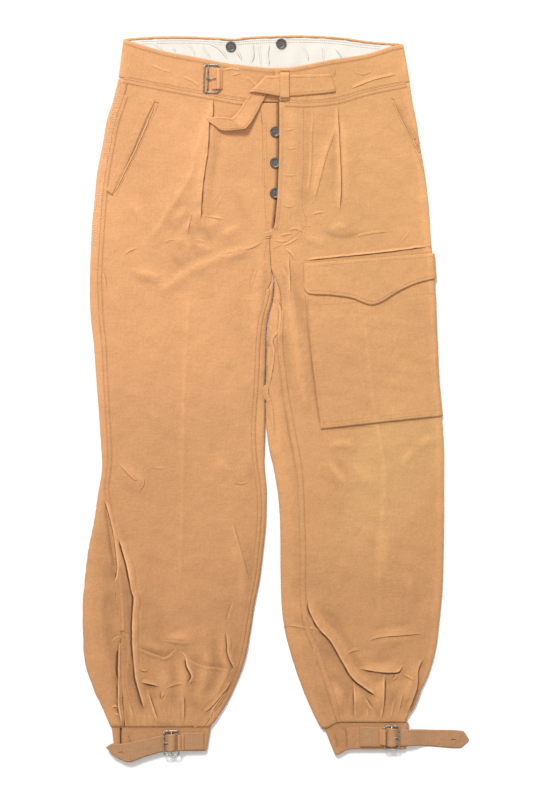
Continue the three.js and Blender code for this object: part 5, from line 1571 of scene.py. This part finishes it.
# The lip's section is carried along the path: its height fades towards both ends, its foot swings a little.
def lipParts(height, reach, side, shade, path, heightAt, seed, taper=16):
    height = height * (1 + 0.3 * ease(-250, -330, path[0][1]))
    centre, run, at = stationsAlong(path, 1.85)
    swing = 0.35 * ripple(at, seed, 13)
    foot = np.where(lipAcross < 0, 0.8 + 0.75 * height, 1)
    across = np.concatenate([lipAcross * foot, slopeAcross * reach])
    high = np.concatenate([lipHigh, slopeHigh])
    dark = np.concatenate([lipPaintedShadeAndHighlight, 0 * slopeHigh])
    aside = side * leftOf(run)
    taper = min(taper, at[-1] / 2.2)
    fade = ease(0, taper, at) * ease(0, taper, at[-1] - at)
    fade = fade * (1 + 0.3 * ripple(at, seed + 1, 24))
    offsets = (across[None] + swing[:, None]) * (0.45 + 0.55 * fade)[:, None]
    plan = centre[:, None] + offsets[..., None] * aside[:, None]
    x, y = plan[..., 0], plan[..., 1]
    z = heightAt(x, y) + high[None] * (1.2 * height * fade + 0.25)[:, None] - 0.25
    grids = [np.stack([x, y, z], -1), np.stack([x, y, heightAt(x, y) - 0.9], -1)]
    return shellParts(*grids, np.clip(shade * dark[None] * fade[:, None], -0.6, 1.1), 0)


for legName, leg, heightAt in (("right", rightLeg, onRight), ("left", leftLeg, onLeft)):
    lips = [lipParts(*crease, heightAt, 200 + 3 * i) for i, crease in enumerate(creaseLips)
            if (np.mean([x for x, y in crease[4]]) < -3) == (leg is rightLeg)]
    addShells(f"{legName}_creases", lips, cloth)

rightOutseam = [(-217, 440), (-230, 402), (-236.5, 369), (-244, 329), (-248.5, 288), (-252.5, 233),
                (-255, 186), (-255, 158), (-253, 114), (-249, 78), (-247, 33), (-243, -37), (-241, -77),
                (-242, -100), (-245, -130), (-240, -170), (-234, -212), (-227, -255), (-223, -300),
                (-222, -338)]
ventHem = [(-216, -340), (-214, -368), (-217, -400), (-213, -428), (-205, -450), (-200, -470)]
rightInseam = [(-11, 160), (-15.5, 140), (-22.5, 112), (-26.5, 72), (-28, 30), (-32.5, -37), (-31.5, -77),
               (-29, -98), (-24.5, -138), (-24.5, -179), (-28, -219), (-33, -260), (-41, -301),
               (-47.5, -341), (-56, -382), (-72, -422), (-84, -443), (-104, -468)]
leftInseam = [(8, 129), (6, 81), (12, 26), (16, -3), (21, -28), (26, -57), (34, -102), (37, -154),
              (39, -219), (39, -277), (44, -327), (61, -370), (76, -414), (93, -467)]


# A line beside a curve, offset across it, at the given places
def hemOf(curve, offset, span):
    return [(x, float(read(curve, 0, 1, x)) + offset) for x in span]


# Lines across the front: the waist, the fly, the crotch and the hip pockets
waistRight = hemOf(frontSeam, -3.4, (-222, -200, -177, -150, -125, -95, -70, -45, -24))
waistLeft = hemOf(frontSeam, -3.4, (12, 30, 45, 60, 80, 100, 125, 150, 170, 190))
flyEdgeSeam = [(8.2, 425), (8.2, 369), (7.2, 329), (5.2, 290), (2.7, 264), (-0.4, 244)]
flyStitch = [(40, 424), (40, 382), (40, 337), (38, 295), (40, 272), (44, 256), (35, 243),
             (21, 232), (8, 223), (-4, 217)]
underFly = [(-19, 419), (-19, 361), (-19, 310)]
underFlyLow = [(-14, 401), (-13, 346), (-13, 288), (-11, 243)]
crotchSeam = [(-12, 230), (-15, 219), (-17, 204)]
rightPocketLine = [(-176, 428), (-190, 397), (-206, 361), (-223, 327), (-237, 296)]
leftPocketLine = [(173, 433), (187, 404), (202, 374), (212, 351), (219, 332)]

# Felled seams: path, width, where their stitch lines lie across them, surface, rise, seed
seams = {
    "outseam_right": (rightOutseam, 9, (-2.8, 2.8), onRight, 0.55, 11),
    "vent_hem_right": (ventHem, 7, (-2, 2), onRight, 0.4, 12),
    "inseam_right": (rightInseam, 8, (-2.7, 2.7), onRight, 0.55, 13),
    "inseam_left": (leftInseam, 10.5, (-3.8, 3.8), onLeft, 0.55, 14),
    "waist_seam_right": (waistRight, 9, (-2.7, 2.7), onRight, 0.4, 15),
    "waist_seam_left": (waistLeft, 9, (-2.7, 2.7), onLeft, 0.4, 16),
    "fly_edge_left": (flyEdgeSeam, 5.5, (0.6,), onLeft, 0.5, 17),
}
for name, seam in seams.items():
    addSeam(name, *seam)

# Lines of stitches on the legs, the pocket, the waistband and the lining: path, how far to its left, surface,
# how far above it
rightLines = [
    (rightOutseam, -2.8, onRight, 0.6), (rightOutseam, 2.8, onRight, 0.6),
    (rightInseam, -2.7, onRight, 0.6), (rightInseam, 2.7, onRight, 0.6),
    (ventHem, -2, onRight, 0.5), (ventHem, 2, onRight, 0.5),
    ([(-239, -359), (-237, -348), (-230, -343), (-221, -344), (-216, -350)], 0, onRight, 0.8),
    (rightPocketLine, 5.8, onRight, 0.2), (rightPocketLine, -6, onRight, 0.2),
    (underFly, 0, onRight, 0.15), (underFlyLow, 0, onRight, 0.15), (underFlyLow, -3, onRight, 0.15),
    (crotchSeam, 0, onRight, 0.2), (waistRight, 2.7, onRight, 0.5), (waistRight, -2.7, onRight, 0.5),
]
piping = [(41, 197), (100, 203), (166, 210), (226, 217)]
leftLines = [
    (leftInseam, -3.8, onLeft, 0.6), (leftInseam, 3.8, onLeft, 0.6), (flyStitch, 0, onLeft, 0.15),
    (leftPocketLine, 5.4, onLeft, 0.2), (leftPocketLine, -5.4, onLeft, 0.2), (piping, 4.4, onLeft, 0.15),
    (waistLeft, 2.7, onLeft, 0.5), (waistLeft, -2.7, onLeft, 0.5),
]
patchHem = [(44, 135), (71, 137), (100, 138), (121, 140)]
patchHemEnd = [(199, 151), (215, 152), (229, 152)]
patchSide = [(47.5, 145), (51.5, 99), (57.5, 50), (64.5, -2), (69.5, -42)]
patchFootSpan = (68, 100, 150, 200, 236)
flapTopSpan = (46, 80, 115, 150, 185, 215, 229)
flapFootSpan = (48, 78, 110, 140, 160, 182, 204, 228)
pocketLines = [
    (hemOf(pocketFoot, 4.5, patchFootSpan), 0, onPocket), (hemOf(pocketFoot, 9, patchFootSpan), 0, onPocket),
    (patchSide, 0, onPocket), (patchHem, 0, onPocket), (patchHemEnd, 0, onPocket),
    (hemOf(flapTop, -5, flapTopSpan), 0, onFlap), (hemOf(flapFoot, 5, flapFootSpan), 0, onFlap, 0.45),
]
bandHalves = [((-214, -190, -160, -120, -80, -40, 0, 26), onBandRight),
              ((4, 25, 48, 80, 110, 140, 168, 182), onBandLeft)]
bandLines = [(hemOf(curve, offset, span), 0, surface, 0.12)
             for curve, offset in ((frontTop, -6), (frontSeam, 3.5)) for span, surface in bandHalves]
liningSpan = (-194, -150, -110, -70, -30, 10, 50, 90, 130, 152)
liningLines = [(hemOf(backTop, offset, liningSpan), 0, onLining) for offset in (-6, -9.5)]
sewn = [
    ("right_leg", rightLines, thread), ("left_leg", leftLines, thread), ("pocket", pocketLines, thread),
    ("waistband", bandLines, thread), ("lining", liningLines, liningThread),
]
for i, (name, lines, material) in enumerate(sewn):
    addStitches(f"stitches_{name}", [sewnLine(*line) for line in lines], material, seed=21 + i)

bandLips = [lipParts(*crease, onBandLeft if crease[4][0][0] > 20 else onBandRight, 700 + 3 * i, 9)
            for i, crease in enumerate(bandCreases)]
addShells("band_creases", bandLips, cloth)
liningLips = [lipParts(*crease, lambda x, y: onLining(x, y) - 0.1, 800 + 3 * i, 7)
              for i, crease in enumerate(liningCreases)]
addShells("lining_creases", liningLips, lining)

strapEnds = [(beltGrid, 0, 0.93), (rightTailGrid, 0.02, 0.9), (leftTailGrid, 0.02, 0.9)]
strapLines = [strapLine(grid, share, *ends) for grid, *ends in strapEnds for share in (0.12, 0.88)]
addStitches("stitches_straps", strapLines, thread, seed=26)

# Boxes that hold down the ankle straps' ends, and rows along the cuffs
boxes = [
    [(-107, -507), (-107, -485)], [(-112, -507), (-112, -485)], [(-107, -485), (-122, -485.6)],
    [(124, -502.5), (124, -477)], [(129, -502.5), (129, -477)], [(149, -503), (149, -478)],
    [(153, -503), (153, -478.4)], [(124, -477), (153, -478)], [(124, -502.5), (153, -503)],
]
cuffRows = [
    [(-105, -476), (-140, -476), (-180, -476), (-218, -476)], [(-140, -507), (-105, -507)],
    [(92, -475), (120, -474), (150, -474)], [(96, -504), (121, -504)],
]
cuffLines = [sewnLine(path, 0, onCuffStrap) for path in boxes]
cuffLines += [sewnLine(path, 0, onCuff) for path in cuffRows]
addStitches("stitches_cuffs", cuffLines, thread, seed=27)

# Short dense bars on the fly and the hip pockets: middle x and y, half their run in x and y, surface. Four
# more hold the belt loop.
bars = [
    (-10, 236, 5, 1, onLeft), (-10, 233, 5, 1, onLeft), (-175, 431, 5, -2, onRight),
    (-240, 297, 5, -2.6, onRight), (173, 433, 5, -2, onLeft),
]


def barLine(x, y, halfX, halfY, heightAt):
    ends = np.array([(x - halfX, y - halfY), (x + halfX, y + halfY)], float)
    return np.column_stack([ends, heightAt(ends[:, 0], ends[:, 1]) + 0.5])


loopTop = legHeight + float(flyLift(np.array(float(loopForm["x"])), 440)) + layerGap + 1.7
barLines = [barLine(*bar) for bar in bars]
barLines += [np.array([(7.5, y, loopTop), (18.5, y, loopTop)]) for y in (432.6, 434, 473.4, 474.8)]
addStitches("sewn_bars", barLines, thread, 1.1, 28)


# Buttonholes on the ankle straps: a slit of painted shade, drawn as a dark rod, in a ring of close stitches
def buttonhole(name, x, y, z, length, tilt):
    turn = np.linspace(0, 2 * np.pi, 33)
    oval = np.stack([length / 2 * np.cos(turn), 1.5 * np.sin(turn)], -1)
    spin = np.array([(np.cos(tilt), np.sin(tilt)), (-np.sin(tilt), np.cos(tilt))])
    ring = oval @ spin + (x, y)
    addStitches(f"{name}_ring", [np.column_stack([ring, 0 * turn + z + 0.1])], thread, 0.9, 29, 0.12)
    slit = np.linspace(-0.42, 0.42, 9)
    path = np.column_stack([np.column_stack([slit * length, 0 * slit]) @ spin + (x, y), 0 * slit + z - 0.35])
    joined(f"{name}_slit", [sweep(path, 0.55 * np.cos(slit * 3), 8)], paintedSlitShade)


buttonhole("buttonhole_right", -226, -512, cuffTop + beltWall / 2, 15, 0.06)
buttonhole("buttonhole_left", 259, -494.5, beltWall, 14, 0.0)

# Worn threads on the right hip's edge
hipEdge = [(-225, 465), (-228, 430), (-235, 390), (-243, 349), (-250, 306), (-256, 266), (-261, 223)]
fray = [sewnLine(hipEdge, -side, onRight, 0.3) for side in (0.5, 2, 4, 7)]
addStitches("worn_threads", fray, paleThread, 3.4, 30, 0.5)

print("sewing made")

# The floor, the light and the camera, in metres and degrees
studio = {
    "floorHalf": 6, "floorHeight": -0.0002, "floorWhite": 0.97, "skyColour": (1, 0.985, 0.97, 1),
    "skyStrength": 0.66, "sunStrength": 2.9, "sunSpread": 16, "sunElevation": 42, "sunSide": -17,
    "lens": 100, "sensor": 36, "viewTall": 1.16, "viewX": -0.01269, "viewY": -0.00181, "viewZ": 0.005,
}
floorMaterial, floorSurface = newMaterial("whiteFloor", 0.9, {"Specular IOR Level": 0.0})
floorSurface.inputs["Base Color"].default_value = (*[studio["floorWhite"]] * 3, 1)
floorMesh = bpy.data.meshes.new("floor")
floorMesh.from_pydata([(studio["floorHalf"] * x, studio["floorHalf"] * y, studio["floorHeight"])
                       for x, y in ((-1, -1), (1, -1), (1, 1), (-1, 1))], [], [(0, 1, 2, 3)])
floorMesh.materials.append(floorMaterial)
floor = bpy.data.objects.new("floor", floorMesh)
bpy.context.scene.collection.objects.link(floor)

world = bpy.data.worlds.new("softLight")
world.use_nodes = True
world.node_tree.nodes["Background"].inputs["Color"].default_value = studio["skyColour"]
world.node_tree.nodes["Background"].inputs["Strength"].default_value = studio["skyStrength"]
bpy.context.scene.world = world
sunData = bpy.data.lights.new("key", "SUN")
sunData.energy = studio["sunStrength"]
sunData.angle = np.radians(studio["sunSpread"])
sun = bpy.data.objects.new("key", sunData)
sun.rotation_mode = "QUATERNION"
elevation = np.radians(studio["sunElevation"])
side = np.radians(studio["sunSide"])
towardsSun = (np.cos(elevation) * np.sin(side), np.cos(elevation) * np.cos(side), np.sin(elevation))
sun.rotation_quaternion = Vector(towardsSun).to_track_quat("Z", "Y")
bpy.context.scene.collection.objects.link(sun)

cameraData = bpy.data.cameras.new("camera")
cameraData.lens = studio["lens"]
cameraData.sensor_width = studio["sensor"]
camera = bpy.data.objects.new("camera", cameraData)
distance = studio["viewTall"] * studio["lens"] / studio["sensor"]
camera.location = (studio["viewX"], studio["viewY"], studio["viewZ"] + distance)
bpy.context.scene.collection.objects.link(camera)
bpy.context.scene.camera = camera
bpy.context.scene.view_settings.view_transform = "Standard"
bpy.context.scene.view_settings.look = "None"
